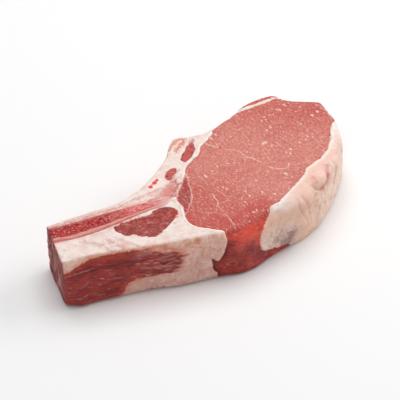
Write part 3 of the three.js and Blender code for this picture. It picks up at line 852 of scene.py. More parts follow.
class Relief:
    """How far the surface stands out of the smooth form, by the tissue under it."""

    def __init__(self) -> None:
        """Seeds one noise field for each kind of relief."""
        seeds = (3, 7, 11, 19, 23)
        self.coarse, self.fine, self.fibre, self.pore, self.fold = (Noise(seed) for seed in seeds)

    def lean(self, p: Array, sample: Sample) -> Array:
        """Lean swells between its seams, with soft lumps and fine grain, and sinks at its edges.

        On the walls the flank has long level ridges, and the eye's front lies back from the fat.

        Args:
            p: Points shaped (n, 3).
            sample: Their tissue.

        Returns:
            A height for each point.
        """
        swell = 0.5 * smoothstep(sample.lean, 0, 8) - 0.32
        streaks = 0.09 * self.fine.layered(p / np.array([0.9, 2.2, 2.2]), 2)
        long = 0.2 * self.fibre.layered(p / np.array([9.0, 9.0, 1.2]), 3)
        on_flank = smoothstep(sample.flank, -0.5, 1.0)
        sunk = 0.6 * (1 - on_flank) * (1 - smoothstep(p[:, 0], 26, 40))
        on_wall = sample.wall * (on_flank * long - sunk)
        return swell * (1 - sample.wall) + 0.2 * self.coarse.layered(p / 13, 2) + streaks + on_wall

    def fat(self, p: Array, sample: Sample) -> Array:
        """Fat has soft dents, and on its walls wrinkles: layered noise folded sharply about zero.

        The cap's wall has lobules, and rounded bumps that each fall off as an exponential of the
        cubed distance from their middle. Its torn corner at the eye's front is full of crumbs. The
        rib side's wall has soft swirls and faint upright ridges.

        Args:
            p: Points shaped (n, 3).
            sample: Their tissue.

        Returns:
            A height for each point.
        """
        x, z = p[:, 0], p[:, 2]
        on_cap = smoothstep(x, 4, 16) * sample.wall
        folded = self.fold.layered(p / np.array([9.0, 9.0, 7.0]), 3)
        wrinkles = np.clip(1 - np.abs(folded) * 7, 0, 1) ** 2 * smoothstep(x, 30, 50)
        lumps = self.coarse.layered(p / 7 + 31, 2)
        plump = smoothstep(x, 29, 33) * (1 - 0.6 * smoothstep(x, 58, 68)) * sample.wall
        swirl = self.coarse.layered(p / np.array([4.0, 4.0, 3.0]) + 0.8 * lumps[:, None], 3)
        torn = on_cap * (1 - smoothstep(x, 22, 30)) * (1 - smoothstep(z, 12, 20))
        crumbs = self.pore.layered(p / 1.6, 3)
        upright = self.fibre.layered(p / np.array([1.8, 1.8, 12.0]), 2)
        on_rib = (1 - smoothstep(x, -14, 2)) * sample.wall
        height = 0.15 * self.coarse.layered(p / 16, 2) + 0.07 * self.fine.layered(p / 3.2, 2)
        height += on_cap * (0.25 * lumps - 0.1 * wrinkles) + torn * 0.8 * crumbs
        height += on_rib * (0.2 * swirl + 0.08 * upright)
        height += plump * (0.2 * smoothstep(sample.lobule, 0, 0.5) - 0.12)
        for bx, by, bz, radius, rise in BUMPS:
            away2 = (x - bx) ** 2 + (p[:, 1] - by) ** 2 + (z - bz) ** 2
            height += 1.5 * rise * np.exp(-((away2 / radius**2) ** 1.5))
        return height + 0.38 * sample.lip * (0.75 + 0.9 * self.fold.layered(p / 2.0, 2))

    def at(self, p: Array, sample: Sample) -> Array:
        """Relief along the normals.

        Lean's height gives way to fat's across each seam. The sawn rib is hollowed, with pores in
        its marrow, and the chine bone stands in knobs. A groove parts the rib's fat from the eye's
        front, and each crease is a narrower one.

        Args:
            p: Points shaped (n, 3).
            sample: Their tissue.

        Returns:
            A height for each point, faded out at the lower cut face.
        """
        face = 1 - sample.wall
        on_lean = smoothstep(sample.lean, -0.35, 0.4)
        height = self.fat(p, sample) * (1 - on_lean) + self.lean(p, sample) * on_lean
        bone = smoothstep(sample.bone, 0.0, 0.8) * (face + sample.end)
        pores = np.minimum(self.pore.layered(p / 0.95, 2), 0.35)
        spongy = smoothstep(sample.rib_share, 0.0, 0.12) * (1 - smoothstep(sample.rib_share, 0.62, 0.74))
        height += bone * (spongy * (0.4 * pores - 0.12) - 0.05)
        height += sample.end * (0.5 * self.coarse.layered(p / np.array([4.0, 4.0, 8.0]), 3) - 0.1)
        chine = smoothstep(sample.chine, -0.6, 1.5)
        height += chine * (0.4 + 0.4 * self.coarse.layered(p / 4 + 5, 2)) * face
        at_front = smoothstep(p[:, 0], -22, -17) * (1 - smoothstep(p[:, 0], -5, 1)) * sample.wall
        height -= 0.55 * at_front * np.exp(-((sample.rib / 0.8) ** 2))
        on_skin = sample.wall * (p[:, 1] < 0)
        for mark in CREASES:
            away, _ = Line(mark.points).near(p[:, [0, 2]], within=3.0)
            height -= 0.5 * mark.strength * on_skin * np.exp(-((away / mark.half_width / 1.8) ** 2))
        return height * smoothstep(p[:, 2], 0.0, 3.0)


class Masks:
    """The attributes that a piece's material reads."""

    def __init__(self, tissue: Tissue) -> None:
        """Keeps the tissue that the masks follow."""
        self.tissue = tissue

    @staticmethod
    def stain(p: Array, spots: Sequence[Sequence[float]]) -> Array:
        """The sum of soft round stains: a Gaussian of the distance to each spot."""
        total = np.zeros(len(p))
        for x, y, z, radius, strength in spots:
            away2 = (p[:, 0] - x) ** 2 + (p[:, 1] - y) ** 2 + (p[:, 2] - z) ** 2
            total += strength * np.exp(-away2 / radius**2)
        return np.clip(total, 0, 1)

    @staticmethod
    def marks(places: Array, marks: Sequence[Mark]) -> Array:
        """The nearest mark at each place: signed and plain distance in half widths, and strength."""
        nearest = np.full((len(places), 3), 20.0)
        nearest[:, 2] = 0
        for mark in marks:
            away, signed = Line(mark.points).near(places, within=3.5)
            closer = away / mark.half_width < nearest[:, 1]
            nearest[closer, 0] = (signed / mark.half_width)[closer]
            nearest[closer, 1] = (away / mark.half_width)[closer]
            nearest[closer, 2] = mark.strength
        return nearest

    @staticmethod
    def flecks_and_glints(p: Array) -> Array:
        """How near the nearest listed spot is, flecks of fat and painted glints, from 1 at its middle to 0
        at 1.3 mm.

        Each spot's own distance is stretched along Y, the way the fibres run.
        """
        share = np.zeros(len(p))
        for x, y, size in FLECKS_AND_GLINTS:
            away = np.hypot(p[:, 0] - x, (p[:, 1] - y) * 0.55) / size
            share = np.maximum(share, np.clip(1 - away / 1.3, 0, 1))
        return share

    def at(self, p: Array) -> dict[str, Array]:
        """Every attribute at points.

        Args:
            p: Points shaped (n, 3).

        Returns:
            Arrays by attribute name, of one or three numbers for each point.
        """
        on_skin = np.where(p[:, 1:2] < 0, 1.0, (20.0, 20.0, 0.0))
        wall_marks = {"crease": CREASES, "fibre": FIBRES}
        return {
            **vars(self.tissue.at(p)),
            **{name: self.stain(p, spots) for name, spots in STAINS.items()},
            "fleck_and_glint": self.flecks_and_glints(p),
            "vein": self.marks(p[:, :2], VEINS),
            "strand": self.marks(p[:, :2], STRANDS),
            **{name: self.marks(p[:, [0, 2]], lines) * on_skin for name, lines in wall_marks.items()},
        }


class Bench:
    """Makes, cuts and joins meshes in Blender, and clears away what was only needed on the way."""

    def __init__(self) -> None:
        """Starts with nothing made."""
        self.made: list[Solid] = []

    def keep(self, name: str, mesh: bpy.types.Mesh) -> Solid:
        """An object in the scene for a mesh, remembered as made here."""
        obj = bpy.data.objects.new(name, mesh)
        bpy.context.scene.collection.objects.link(obj)
        self.made.append(obj)
        return obj

    def piece(self, name: str, places: Array, faces: Sequence[Sequence[int]]) -> Solid:
        """A new object from points in millimetres and faces."""
        mesh = bpy.data.meshes.new(name)
        mesh.from_pydata((np.asarray(places) * MM).tolist(), [], faces)
        return self.keep(name, mesh)

    def block(self, region: Region, upright: bool = True) -> Solid:
        """An outline drawn out past the chop, along Z, or along Y for an outline on the wall.

        Args:
            region: The outline, in plan or on the wall.
            upright: Whether it is a plan outline.

        Returns:
            The closed block, its faces pointing out.
        """
        outline = region.outline
        ahead = np.roll(outline, -1, axis=0)
        area = np.sum(outline[:, 0] * ahead[:, 1] - ahead[:, 0] * outline[:, 1])
        outline = outline if (area > 0) == upright else outline[::-1]
        count = len(outline)
        low, high = (np.full(count, v) for v in (-PAST, PAST))
        x, second = outline.T
        ends = [np.stack([x, second, v] if upright else [x, v, second], axis=1) for v in (low, high)]
        ring = np.arange(count)
        after = np.roll(ring, -1)
        sides = np.stack([ring, after, after + count, ring + count], axis=1)
        faces = [*sides.tolist(), ring[::-1].tolist(), (ring + count).tolist()]
        return self.piece("block", np.vstack(ends), faces)

    def combine(self, base: Solid, cutter: Solid, how: Cut) -> Solid:
        """A new object: the base cut by, kept within or joined to the cutter."""
        step = base.modifiers.new("cut", "BOOLEAN")
        step.operation, step.object, step.solver = how.value, cutter, "MANIFOLD"
        graph = bpy.context.evaluated_depsgraph_get()
        mesh = bpy.data.meshes.new_from_object(base.evaluated_get(graph))
        base.modifiers.remove(step)
        return self.keep(base.name, mesh)

    def clear(self, kept: Sequence[Solid]) -> None:
        """Removes everything made here but the kept objects."""
        for obj in self.made:
            if obj not in kept:
                mesh = obj.data
                bpy.data.objects.remove(obj)
                bpy.data.meshes.remove(mesh)
        self.made = list(kept)


class Graph:
    """A material's node tree, built by short calls that take and give sockets."""

    def __init__(self, name: str) -> None:
        """Starts an empty material, and reads places in millimetres."""
        self.material = bpy.data.materials.new(name)
        self.material.use_nodes = True
        self.tree = self.material.node_tree
        self.tree.nodes.clear()
        self.place = self.scaled(self.add("ShaderNodeTexCoord").outputs["Object"], (1 / MM,) * 3)

    def add(self, kind: str, inputs: Inputs = (), **settings: object) -> bpy.types.Node:
        """A new node.

        Args:
            kind: Blender's name of the node's type.
            inputs: What each input gets, by its index or name: a socket to link, or a value.
            settings: The node's own settings.

        Returns:
            The node.
        """
        node = self.tree.nodes.new(kind)
        for key, value in settings.items():
            setattr(node, key, value)
        for key, value in dict(inputs).items():
            if isinstance(value, Socket):
                self.tree.links.new(value, node.inputs[key])
            else:
                node.inputs[key].default_value = value
        return node

    def math(self, how: str, a: object, b: object = 0.0) -> Socket:
        """A Math node's result."""
        return self.add("ShaderNodeMath", {0: a, 1: b}, operation=how).outputs[0]

    def times(self, *factors: object) -> Socket:
        """The product of several values."""
        return functools.reduce(functools.partial(self.math, "MULTIPLY"), factors)

    def total(self, *parts: object) -> Socket:
        """The sum of several values."""
        return functools.reduce(functools.partial(self.math, "ADD"), parts)

    def rest(self, share: object) -> Socket:
        """1 less a share."""
        return self.math("SUBTRACT", 1.0, share)

    def size(self, value: object) -> Socket:
        """A value without its sign."""
        return self.math("ABSOLUTE", value)

    def vector(self, how: str, a: object, b: object) -> Socket:
        """A Vector Math node's result."""
        return self.add("ShaderNodeVectorMath", {0: a, 1: b}, operation=how).outputs[0]

    def scaled(self, vector: Socket, by: Sequence[float]) -> Socket:
        """A vector times a number for each axis."""
        return self.vector("MULTIPLY", vector, by)

    def turned(self, vector: Socket, degrees: float) -> Socket:
        """A vector turned about Z."""
        inputs = {"Vector": vector, "Angle": math.radians(degrees)}
        return self.add("ShaderNodeVectorRotate", inputs, rotation_type="Z_AXIS").outputs[0]

    def warped(self, vector: Socket, grain: float, amount: float) -> Socket:
        """A vector moved by smooth noise, so that what follows it bends."""
        noise = self.add("ShaderNodeTexNoise", {"Scale": 1 / grain, "Detail": 2.0, "Vector": vector})
        centred = self.vector("SUBTRACT", noise.outputs["Color"], (0.5, 0.5, 0.5))
        return self.vector("ADD", vector, self.scaled(centred, (amount,) * 3))

    def drawn(self, bend: tuple[float, float], turn: float, stretch: Sequence[float]) -> Socket:
        """The surface's places, warped by a bend, turned, and then scaled, so that noise is drawn out."""
        return self.scaled(self.turned(self.warped(self.place, *bend), turn), stretch)

    def noise(self, vector: Socket, grain: float, detail: float = 3.0, rough: float = 0.55) -> Socket:
        """Layered noise of 0 to 1 whose largest features are about a grain across."""
        inputs = {"Vector": vector, "Scale": 1 / grain, "Detail": detail, "Roughness": rough}
        return self.add("ShaderNodeTexNoise", inputs).outputs["Fac"]

    def cloud(self, grain: float, detail: float = 3.0, rough: float = 0.55) -> Socket:
        """Noise that follows the surface's own places."""
        return self.noise(self.place, grain, detail, rough)

    def cells(self, vector: Socket, grain: float, feature: str = "F1") -> bpy.types.Node:
        """A Voronoi node with cells about a grain across."""
        return self.add("ShaderNodeTexVoronoi", {"Vector": vector, "Scale": 1 / grain}, feature=feature)

    def chance(self, cells: bpy.types.Node) -> Socket:
        """A fixed chance value of 0 to 1 for each cell."""
        return self.add("ShaderNodeSeparateColor", {0: cells.outputs["Color"]}).outputs[0]

    def value(self, name: str) -> Socket:
        """A number attribute of the piece."""
        return self.add("ShaderNodeAttribute", attribute_name=name).outputs["Fac"]

    def triple(self, name: str) -> Sequence[Socket]:
        """The three numbers of a vector attribute of the piece."""
        return self.parts(self.add("ShaderNodeAttribute", attribute_name=name).outputs["Vector"])

    def parts(self, vector: Socket) -> Sequence[Socket]:
        """A vector's three numbers."""
        return self.add("ShaderNodeSeparateXYZ", {0: vector}).outputs

    def centred(self, noise: Socket) -> Socket:
        """Noise of 0 to 1 moved to -0.5 to 0.5."""
        return self.math("SUBTRACT", noise, 0.5)

    def shifted(self, value: object, noise: Socket, amount: float) -> Socket:
        """A value moved both ways by noise, over a span of an amount."""
        return self.total(value, self.times(self.centred(noise), amount))

    def rough(self, name: str, grain: float, amount: float) -> Socket:
        """A stain's share, made ragged by noise where it is above nothing."""
        stain = self.value(name)
        noise = self.centred(self.cloud(grain, 4.0))
        return self.total(stain, self.times(noise, amount, self.fade(stain, 0.0, 0.2)))

    def line(self, signed: Socket, away: Socket, waver: float) -> Socket:
        """A thin line where a signed distance, moved by noise, is near nothing."""
        near = self.fade(self.size(self.shifted(signed, self.cloud(1.8), waver)), 1.4, 0.4)
        return self.times(near, self.fade(away, 3.2, 2.0))

    def fade(self, value: object, low: float, high: float) -> Socket:
        """0 at low and 1 at high, smooth between them. Low may be the larger."""
        inputs = {"Value": value, "From Min": low, "From Max": high}
        return self.add("ShaderNodeMapRange", inputs, interpolation_type="SMOOTHSTEP").outputs["Result"]

    def blend(self, share: object, a: object, b: object) -> Socket:
        """Colour b over colour a by a share."""
        inputs = {0: share, 6: a, 7: b}
        return self.add("ShaderNodeMix", inputs, data_type="RGBA", clamp_factor=True).outputs[2]

    def coats(self, colour: object, *layers: tuple[object, ...]) -> Socket:
        """A ground colour under layers.

        Args:
            colour: The ground.
            layers: Each layer's shares, which are multiplied, and then the colour that it lays.

        Returns:
            The colour of all of them together.
        """
        for *shares, over in layers:
            colour = self.blend(self.times(*shares), colour, over)
        return colour

    def between(self, share: object, a: object, b: object) -> Socket:
        """Number b over number a by a share."""
        inputs = {0: share, 2: a, 3: b}
        return self.add("ShaderNodeMix", inputs, data_type="FLOAT", clamp_factor=True).outputs[0]


@dataclass(frozen=True)
class LeanFinish:
    """Raw muscle: the pale eye, the small dark muscles, and the skins on the walls."""

    salmon: Colour = srgb(212, 124, 106)
    lilac: Colour = srgb(209, 130, 122)
    rosy: Colour = srgb(200, 106, 98)
    # the eye's redder parts, and the painted shade beside the rib's fat
    ruddy_and_shade: Colour = srgb(188, 66, 58)
    inner: Colour = srgb(158, 48, 50)
    light: Colour = srgb(244, 198, 184)
    shadow: Colour = srgb(166, 62, 56)
    dark_pale: Colour = srgb(182, 84, 76)
    dark_base: Colour = srgb(156, 58, 53)
    dark_deep: Colour = srgb(120, 36, 36)
    fresh: Colour = srgb(196, 88, 84)
    skin_bright: Colour = srgb(230, 84, 66)
    # low on the eye's front: partly the skin's own colour, partly painted shade
    skin_deep: Colour = srgb(162, 46, 38)
    flank_bright: Colour = srgb(204, 76, 58)
    flank_base: Colour = srgb(170, 56, 48)
    flank_deep: Colour = srgb(112, 26, 28)
    thread: Colour = srgb(236, 190, 176)
    tendon: Colour = srgb(214, 160, 150)
    # flecks of fat, and painted glints
    fleck_and_glint: Colour = srgb(250, 230, 218)
    edge: Colour = srgb(214, 116, 92)
    # painted shadow for the groove between the eye's front and the rib's fat
    crevice_shadow: Colour = srgb(104, 24, 30)
    fringe: Colour = srgb(190, 96, 68)


@dataclass(frozen=True)
class FatFinish:
    """Raw fat: cream on the cut faces, pinker and browner on the walls."""

    cream: Colour = srgb(240, 224, 216)
    shade: Colour = srgb(228, 190, 178)
    # a lilac tint, and the painted shade in the cap's torn corner
    lilac: Colour = srgb(222, 204, 204)
    # pale threads and specks, and the painted highlight on the raised lip
    rim: Colour = srgb(252, 242, 234)
    blush: Colour = srgb(214, 124, 114)
    strand: Colour = srgb(184, 92, 92)
    amber: Colour = srgb(226, 128, 98)
    nick: Colour = srgb(88, 54, 52)
    crumb: Colour = srgb(250, 226, 212)
    wall_high: Colour = srgb(244, 200, 178)
    wall: Colour = srgb(238, 188, 170)
    wall_low: Colour = srgb(222, 172, 158)
    cap_pale: Colour = srgb(246, 220, 202)
    cap_tan: Colour = srgb(240, 196, 172)
    cap_top: Colour = srgb(240, 196, 180)
    striation: Colour = srgb(206, 138, 118)
    crease: Colour = srgb(216, 128, 106)
    # bruises, and the painted shade between the crumbs of the torn corner
    bruise: Colour = srgb(176, 138, 134)
    blood: Colour = srgb(222, 30, 28)
    sinew: Colour = srgb(220, 144, 124)
    dot: Colour = srgb(218, 112, 84)


@dataclass(frozen=True)
class BoneFinish:
    """A rib sawn lengthwise: red spongy marrow between pinkish grey walls, and pale gristle."""

    marrow: Colour = srgb(188, 50, 48)
    marrow_deep: Colour = srgb(124, 20, 24)
    spicule: Colour = srgb(224, 148, 144)
    bright: Colour = srgb(208, 74, 68)
    wall: Colour = srgb(216, 162, 150)
    wall_grey: Colour = srgb(200, 142, 136)
    line: Colour = srgb(200, 76, 76)
    brim: Colour = srgb(214, 122, 110)
    gristle: Colour = srgb(242, 222, 206)
    gore: Colour = srgb(212, 88, 80)
    end_grey: Colour = srgb(168, 108, 94)
    end_brown: Colour = srgb(112, 52, 44)
    end_pale: Colour = srgb(222, 180, 164)
    end_corner: Colour = srgb(150, 66, 56)


class Flesh:
    """The chop's material: each piece gets its own, and all read the same tissue attributes."""

    def __init__(self, lean: LeanFinish, fat: FatFinish, bone: BoneFinish) -> None:
        """Keeps the finishes."""
        self.lean_finish, self.fat_finish, self.bone_finish = lean, fat, bone

    def loin(self, g: Graph) -> tuple[Socket, Socket]:
        """The eye's cut face: short pale and dark streaks over a mottled pink ground.

        Args:
            g: The material's graph.

        Returns:
            The colour and the fine height in millimetres.
        """
        f = self.lean_finish
        bent = g.warped(g.place, 16.0, 7.0)
        run = g.scaled(g.turned(bent, 80.0), (0.45, 1.0, 0.6))
        streak = g.noise(run, 0.66, 1.5, 0.5)
        grain = g.cloud(0.5, 2.0, 0.6)
        hue = g.noise(bent, 1.7)
        patch = g.cloud(22.0)
        ruddy_and_shade = g.shifted(g.value("ruddy_and_shade"), hue, 0.35)
        inner = g.fade(g.shifted(g.value("inner"), hue, 3.0), -0.5, 0.9)
        colour = g.coats(
            g.blend(g.fade(hue, 0.36, 0.64), f.lilac, f.salmon),
            (g.fade(patch, 0.44, 0.66), 0.7, f.rosy),
            # redder at the front, at two corners and by the rib's fat, where it is partly painted shade
            (g.fade(ruddy_and_shade, -0.05, 1.05), 0.92, f.ruddy_and_shade),
            (inner, 0.85, f.inner),
            (g.fade(streak, 0.54, 0.72), 0.50, f.light),
            (g.fade(streak, 0.48, 0.32), 0.38, f.shadow),
            (g.fade(grain, 0.53, 0.74), 0.46, f.light),
            (g.fade(grain, 0.47, 0.26), 0.44, f.shadow),
        )
        return colour, g.total(g.times(streak, 0.2), g.times(grain, 0.12))

    def muscle(self, g: Graph) -> tuple[Socket, Socket]:
        """The small muscles' cut faces: mottled dark red, pinker on the chine side.

        Args:
            g: The material's graph.

        Returns:
            The colour and the fine height in millimetres.
        """
        f = self.lean_finish
        mottle = g.noise(g.warped(g.place, 4.0, 2.0), 2.6, 4.0, 0.65)
        grain = g.noise(g.scaled(g.turned(g.place, 40.0), (0.6, 1.0, 1.0)), 0.7, 3.0, 0.65)
        x, y, _ = g.parts(g.place)
        threads = g.noise(g.drawn((3.0, 2.0), 15.0, (0.3, 1.0, 1.0)), 1.0, 3.0)
        chine = g.times(g.fade(y, 7.0, 11.0), g.fade(mottle, 0.38, 0.52))
        colour = g.coats(
            f.dark_base,
            (g.fade(mottle, 0.50, 0.62), 0.9, f.dark_pale),
            (g.fade(mottle, 0.49, 0.37), 0.75, f.dark_deep),
            (chine, 0.85, f.fresh),
            (g.fade(threads, 0.56, 0.68), 0.45, f.tendon),
            (g.fade(grain, 0.56, 0.74), 0.32, f.tendon),
            (g.fade(grain, 0.44, 0.28), 0.32, f.dark_deep),
            (g.fade(x, 30.0, 37.0), g.fade(mottle, 0.40, 0.50), 0.7, f.edge),
        )
        return colour, g.total(g.times(mottle, 0.3), g.times(grain, 0.12))

    def skin(self, g: Graph) -> tuple[Socket, Socket]:
        """The muscles' outer skins on the walls: bright high on the eye's front, darker below it, partly
        painted shade.

        The flank has long level streaks, with a brighter rim and pale threads. The chine side and the far
        end are duller. A painted shadow darkens the eye's front in the groove beside the rib's fat.

        Args:
            g: The material's graph.

        Returns:
            The colour and the fine height in millimetres.
        """
        f = self.lean_finish
        x, y, z = g.parts(g.place)
        soft = g.cloud(5.0, 4.0, 0.6)
        # darker towards the bottom of the eye's front: partly the skin's own red, partly painted shade
        low = g.fade(g.total(z, g.times(x, 0.13), g.times(g.centred(soft), 9.0)), 22.5, 15.0)
        fibre = g.noise(g.drawn((9.0, 3.0), 35.0, (0.4, 0.4, 1.2)), 1.0, 4.0, 0.65)
        unseen = g.times(g.fade(y, -18.0, -6.0), g.fade(soft, 0.30, 0.50))
        # painted shadow: the eye's front is darkened where it meets the rib's fat
        crevice_shadow = g.fade(g.value("rib"), -2.4, -0.4)
        front = g.coats(
            g.blend(low, f.skin_bright, f.skin_deep),
            (g.fade(soft, 0.52, 0.66), 0.4, f.skin_bright),
            (unseen, 0.9, f.dark_pale),
            (g.fade(fibre, 0.52, 0.70), 0.40, f.tendon),
            (g.fade(fibre, 0.48, 0.30), 0.35, f.flank_deep),
            (g.fade(soft, 0.52, 0.36), 0.45, f.flank_deep),
            (crevice_shadow, g.fade(x, -1.0, -6.0), g.fade(z, 25.0, 20.0), 0.75, f.crevice_shadow),
        )
        level = g.scaled(g.warped(g.place, 6.0, 3.2), (0.24, 0.24, 1.0))
        streak = g.noise(level, 1.0, 5.0, 0.65)
        broad = g.noise(level, 3.6, 2.0)
        flank = g.value("flank")
        rim = g.times(g.fade(g.shifted(flank, soft, 3.0), 3.4, 0.6), g.fade(x, -40.0, -54.0))
        side = g.coats(
            f.flank_base,
            (g.fade(broad, 0.52, 0.38), 0.6, f.flank_deep),
            (rim, 0.7, f.flank_bright),
            (g.fade(streak, 0.55, 0.70), 0.44, f.tendon),
            (g.fade(streak, 0.47, 0.33), 0.50, f.flank_deep),
            (g.fade(soft, 0.52, 0.38), 0.4, f.flank_deep),
            (g.fade(g.shifted(flank, fibre, 1.6), 1.0, 0.2), 0.35, f.fringe),
        )
        faded = g.fade(g.total(x, g.times(z, 0.3)), -50.0, -30.0)
        signed, away, strength = g.triple("fibre")
        side = g.coats(
            side,
            (faded, g.fade(g.noise(level, 1.4), 0.46, 0.66), 0.5, f.tendon),
            (g.line(signed, away, 3.0), g.fade(g.cloud(2.6), 0.40, 0.56), strength, 0.75, f.tendon),
        )
        height = g.total(g.times(streak, 0.35), g.times(fibre, 0.12))
        return g.blend(g.fade(flank, -0.6, 0.5), front, side), height

    def lean(self, g: Graph, wall: Socket) -> tuple[Socket, Socket]:
        """All muscle: the eye and the small muscles on the cut faces, and their skins on the walls.

        Args:
            g: The material's graph.
            wall: How much of a wall the surface is.

        Returns:
            The colour and the fine height in millimetres.
        """
        f = self.lean_finish
        face = g.rest(wall)
        dark = g.value("dark")
        loin, loin_height = self.loin(g)
        muscle, muscle_height = self.muscle(g)
        skin, skin_height = self.skin(g)
        signed, away, strength = g.triple("vein")
        vein = g.times(g.line(signed, away, 2.4), strength, g.fade(g.cloud(1.3), 0.30, 0.56), face)
        small = g.cells(g.drawn((16.0, 9.0), 80.0, (0.5, 1.0, 0.6)), 2.1)
        few = g.fade(g.chance(small), 0.90, 0.94)
        stray = g.times(few, g.fade(small.outputs["Distance"], 0.20, 0.08), 0.7, g.rest(dark))
        marked = g.fade(g.shifted(g.value("fleck_and_glint"), g.cloud(0.8), 1.2), 0.40, 0.85)
        inner = g.shifted(g.value("inner"), g.cloud(1.6), 1.2)
        seam = g.times(g.fade(g.size(inner), 0.6, 0.15), g.fade(g.cloud(2.0), 0.38, 0.52))
        colour = g.coats(
            g.blend(dark, loin, muscle),
            (vein, 0.72, f.thread),
            # pale flecks of fat, with painted glints among the listed ones
            (g.math("MAXIMUM", stray, marked), face, 0.7, f.fleck_and_glint),
            (seam, face, 0.6, f.thread),
            (g.fade(g.rough("blood", 0.9, 0.6), 0.40, 0.70), 0.9, self.fat_finish.blood),
        )
        height = g.between(dark, loin_height, muscle_height)
        x, y, z = g.parts(g.place)
        rise = g.total(z, g.times(x, 0.33), g.times(g.centred(g.cloud(5.0)), 4.0))
        meaty = g.times(g.fade(rise, 25.4, 28.2), g.fade(y, -16.0, -24.0), g.fade(x, -2.0, 5.0))
        skin_share = g.times(wall, g.rest(meaty))
        return g.blend(skin_share, colour, skin), g.between(skin_share, height, skin_height)

    def fat_face(self, g: Graph, cloudy: Socket, fine: Socket, speck: Socket) -> Socket:
        """Fat's cut face: cream with faint threads, pinker beside the rib and on the cap, and a painted
        highlight along its raised lip at the eye.

        Args:
            g: The material's graph.
            cloudy: Coarse noise.
            fine: Noise drawn out along the chop.
            speck: The finest noise.

        Returns:
            The colour.
        """
        f = self.fat_finish
        x, y, _ = g.parts(g.place)
        share = g.value("rib_share")
        over_rib = g.times(g.fade(share, -0.46, -0.10), g.fade(x, -12.0, -28.0))
        under_rib = g.times(g.fade(share, 1.32, 1.08), g.fade(x, -28.0, -42.0), 0.5)
        beside = g.times(g.blend(g.fade(share, 0.4, 0.6), over_rib, under_rib), g.fade(fine, 0.30, 0.56))
        on_cap = g.times(g.fade(x, 20.0, 30.0), g.fade(y, -9.0, -17.0), g.fade(cloudy, 0.26, 0.48))
        return g.coats(
            g.blend(g.times(g.fade(cloudy, 0.42, 0.68), 0.6), f.cream, f.shade),
            (g.fade(g.cloud(9.0), 0.50, 0.66), g.fade(x, -30.0, -52.0), 0.7, f.lilac),
            (beside, 0.6, f.sinew),
            (on_cap, 0.9, f.cap_top),
            (g.fade(fine, 0.54, 0.70), 0.5, f.shade),
            (g.fade(fine, 0.45, 0.30), 0.5, f.rim),
            (g.fade(speck, 0.60, 0.78), 0.4, f.rim),
            # painted highlight: the raised lip at the eye's seams is painted whiter
            (g.value("lip"), 0.8, f.rim),
            (self.strands(g), 0.85, f.strand),
        )

    def fat_wall(self, g: Graph, cloudy: Socket, speck: Socket) -> Socket:
        """Fat's walls: pink with swirls beside the rib, and tan and wrinkled on the cap, with white crumbs
        and painted shade in its torn corner.

        Args:
            g: The material's graph.
            cloudy: Coarse noise.
            speck: The finest noise.

        Returns:
            The colour.
        """
        f = self.fat_finish
        x, _, z = g.parts(g.place)
        swirl = g.noise(g.warped(g.warped(g.place, 7.0, 6.0), 2.6, 2.0), 3.0, 4.0, 0.6)
        contour = g.fade(g.size(g.centred(swirl)), 0.016, 0.004)
        high = g.shifted(z, cloudy, 8.0)
        rib_side = g.coats(
            g.blend(g.fade(high, 24.0, 9.0), f.wall, f.wall_low),
            (g.fade(high, 20.0, 25.0), f.wall_high),
            (g.fade(swirl, 0.50, 0.64), 0.42, f.cream),
            (g.fade(swirl, 0.48, 0.36), 0.5, f.striation),
            (contour, g.fade(cloudy, 0.44, 0.56), 0.6, f.crease),
        )
        right = g.shifted(x, g.cloud(16.0), 26.0)
        cap_side = g.coats(
            g.blend(g.fade(right, 28.0, 54.0), f.cap_tan, f.cap_pale),
            (g.fade(cloudy, 0.50, 0.70), 0.5, f.wall_low),
        )
        upright = g.noise(g.scaled(g.warped(g.place, 5.0, 2.0), (1.0, 1.0, 0.16)), 1.5, 4.0, 0.65)
        signed, away, strength = g.triple("crease")
        furrow = g.times(g.fade(g.value("lobule"), 0.20, 0.02), g.fade(x, 29.0, 35.0))
        dots = g.cells(g.warped(g.place, 3.0, 2.0), 2.6)
        dotted = g.times(g.fade(g.chance(dots), 0.84, 0.90), g.fade(dots.outputs["Distance"], 0.26, 0.08))
        torn = g.times(g.fade(x, 30.0, 22.0), g.fade(x, 4.0, 8.0), g.fade(z, 22.0, 14.0))
        crumbs = g.noise(g.warped(g.place, 2.0, 1.6), 1.7, 3.0, 0.65)
        return g.coats(
            g.blend(g.fade(x, 2.0, 12.0), rib_side, cap_side),
            (g.fade(upright, 0.54, 0.74), 0.35, f.striation),
            (self.network(g), g.fade(x, 30.0, 50.0), 0.12, f.crease),
            (furrow, g.fade(speck, 0.2, 0.5), g.fade(cloudy, 0.40, 0.56), 0.5, f.crease),
            (g.line(signed, away, 2.0), strength, g.fade(cloudy, 0.34, 0.50), 0.6, f.crease),
            (g.fade(speck, 0.56, 0.76), 0.35, f.cream),
            (dotted, 0.6, f.dot),
            # painted shade in the torn corner: a lilac tint, and grey between the white crumbs
            (torn, 0.35, f.lilac),
            (torn, g.fade(crumbs, 0.52, 0.64), 0.9, f.crumb),
            (torn, g.fade(crumbs, 0.44, 0.32), 0.4, f.bruise),
        )

    def fat(self, g: Graph, wall: Socket) -> tuple[Socket, Socket]:
        """All fat: its cut faces and its walls, with blushes, stains and nicks over both.

        The cap's rounded shoulder looks like its cut face, down to a ragged height.

        Args:
            g: The material's graph.
            wall: How much of a wall the surface is.

        Returns:
            The colour and the fine height in millimetres.
        """
        f = self.fat_finish
        x, _, z = g.parts(g.place)
        cloudy = g.noise(g.warped(g.place, 6.0, 3.0), 4.5, 5.0, 0.62)
        fine = g.noise(g.drawn((6.0, 4.0), 22.0, (0.3, 1.0, 0.6)), 1.0, 4.0, 0.65)
        speck = g.cloud(0.6, 2.0, 0.6)
        shoulder = g.between(g.fade(x, 12.0, 20.0), 1.0, g.fade(g.shifted(z, cloudy, 9.0), 28.0, 22.5))
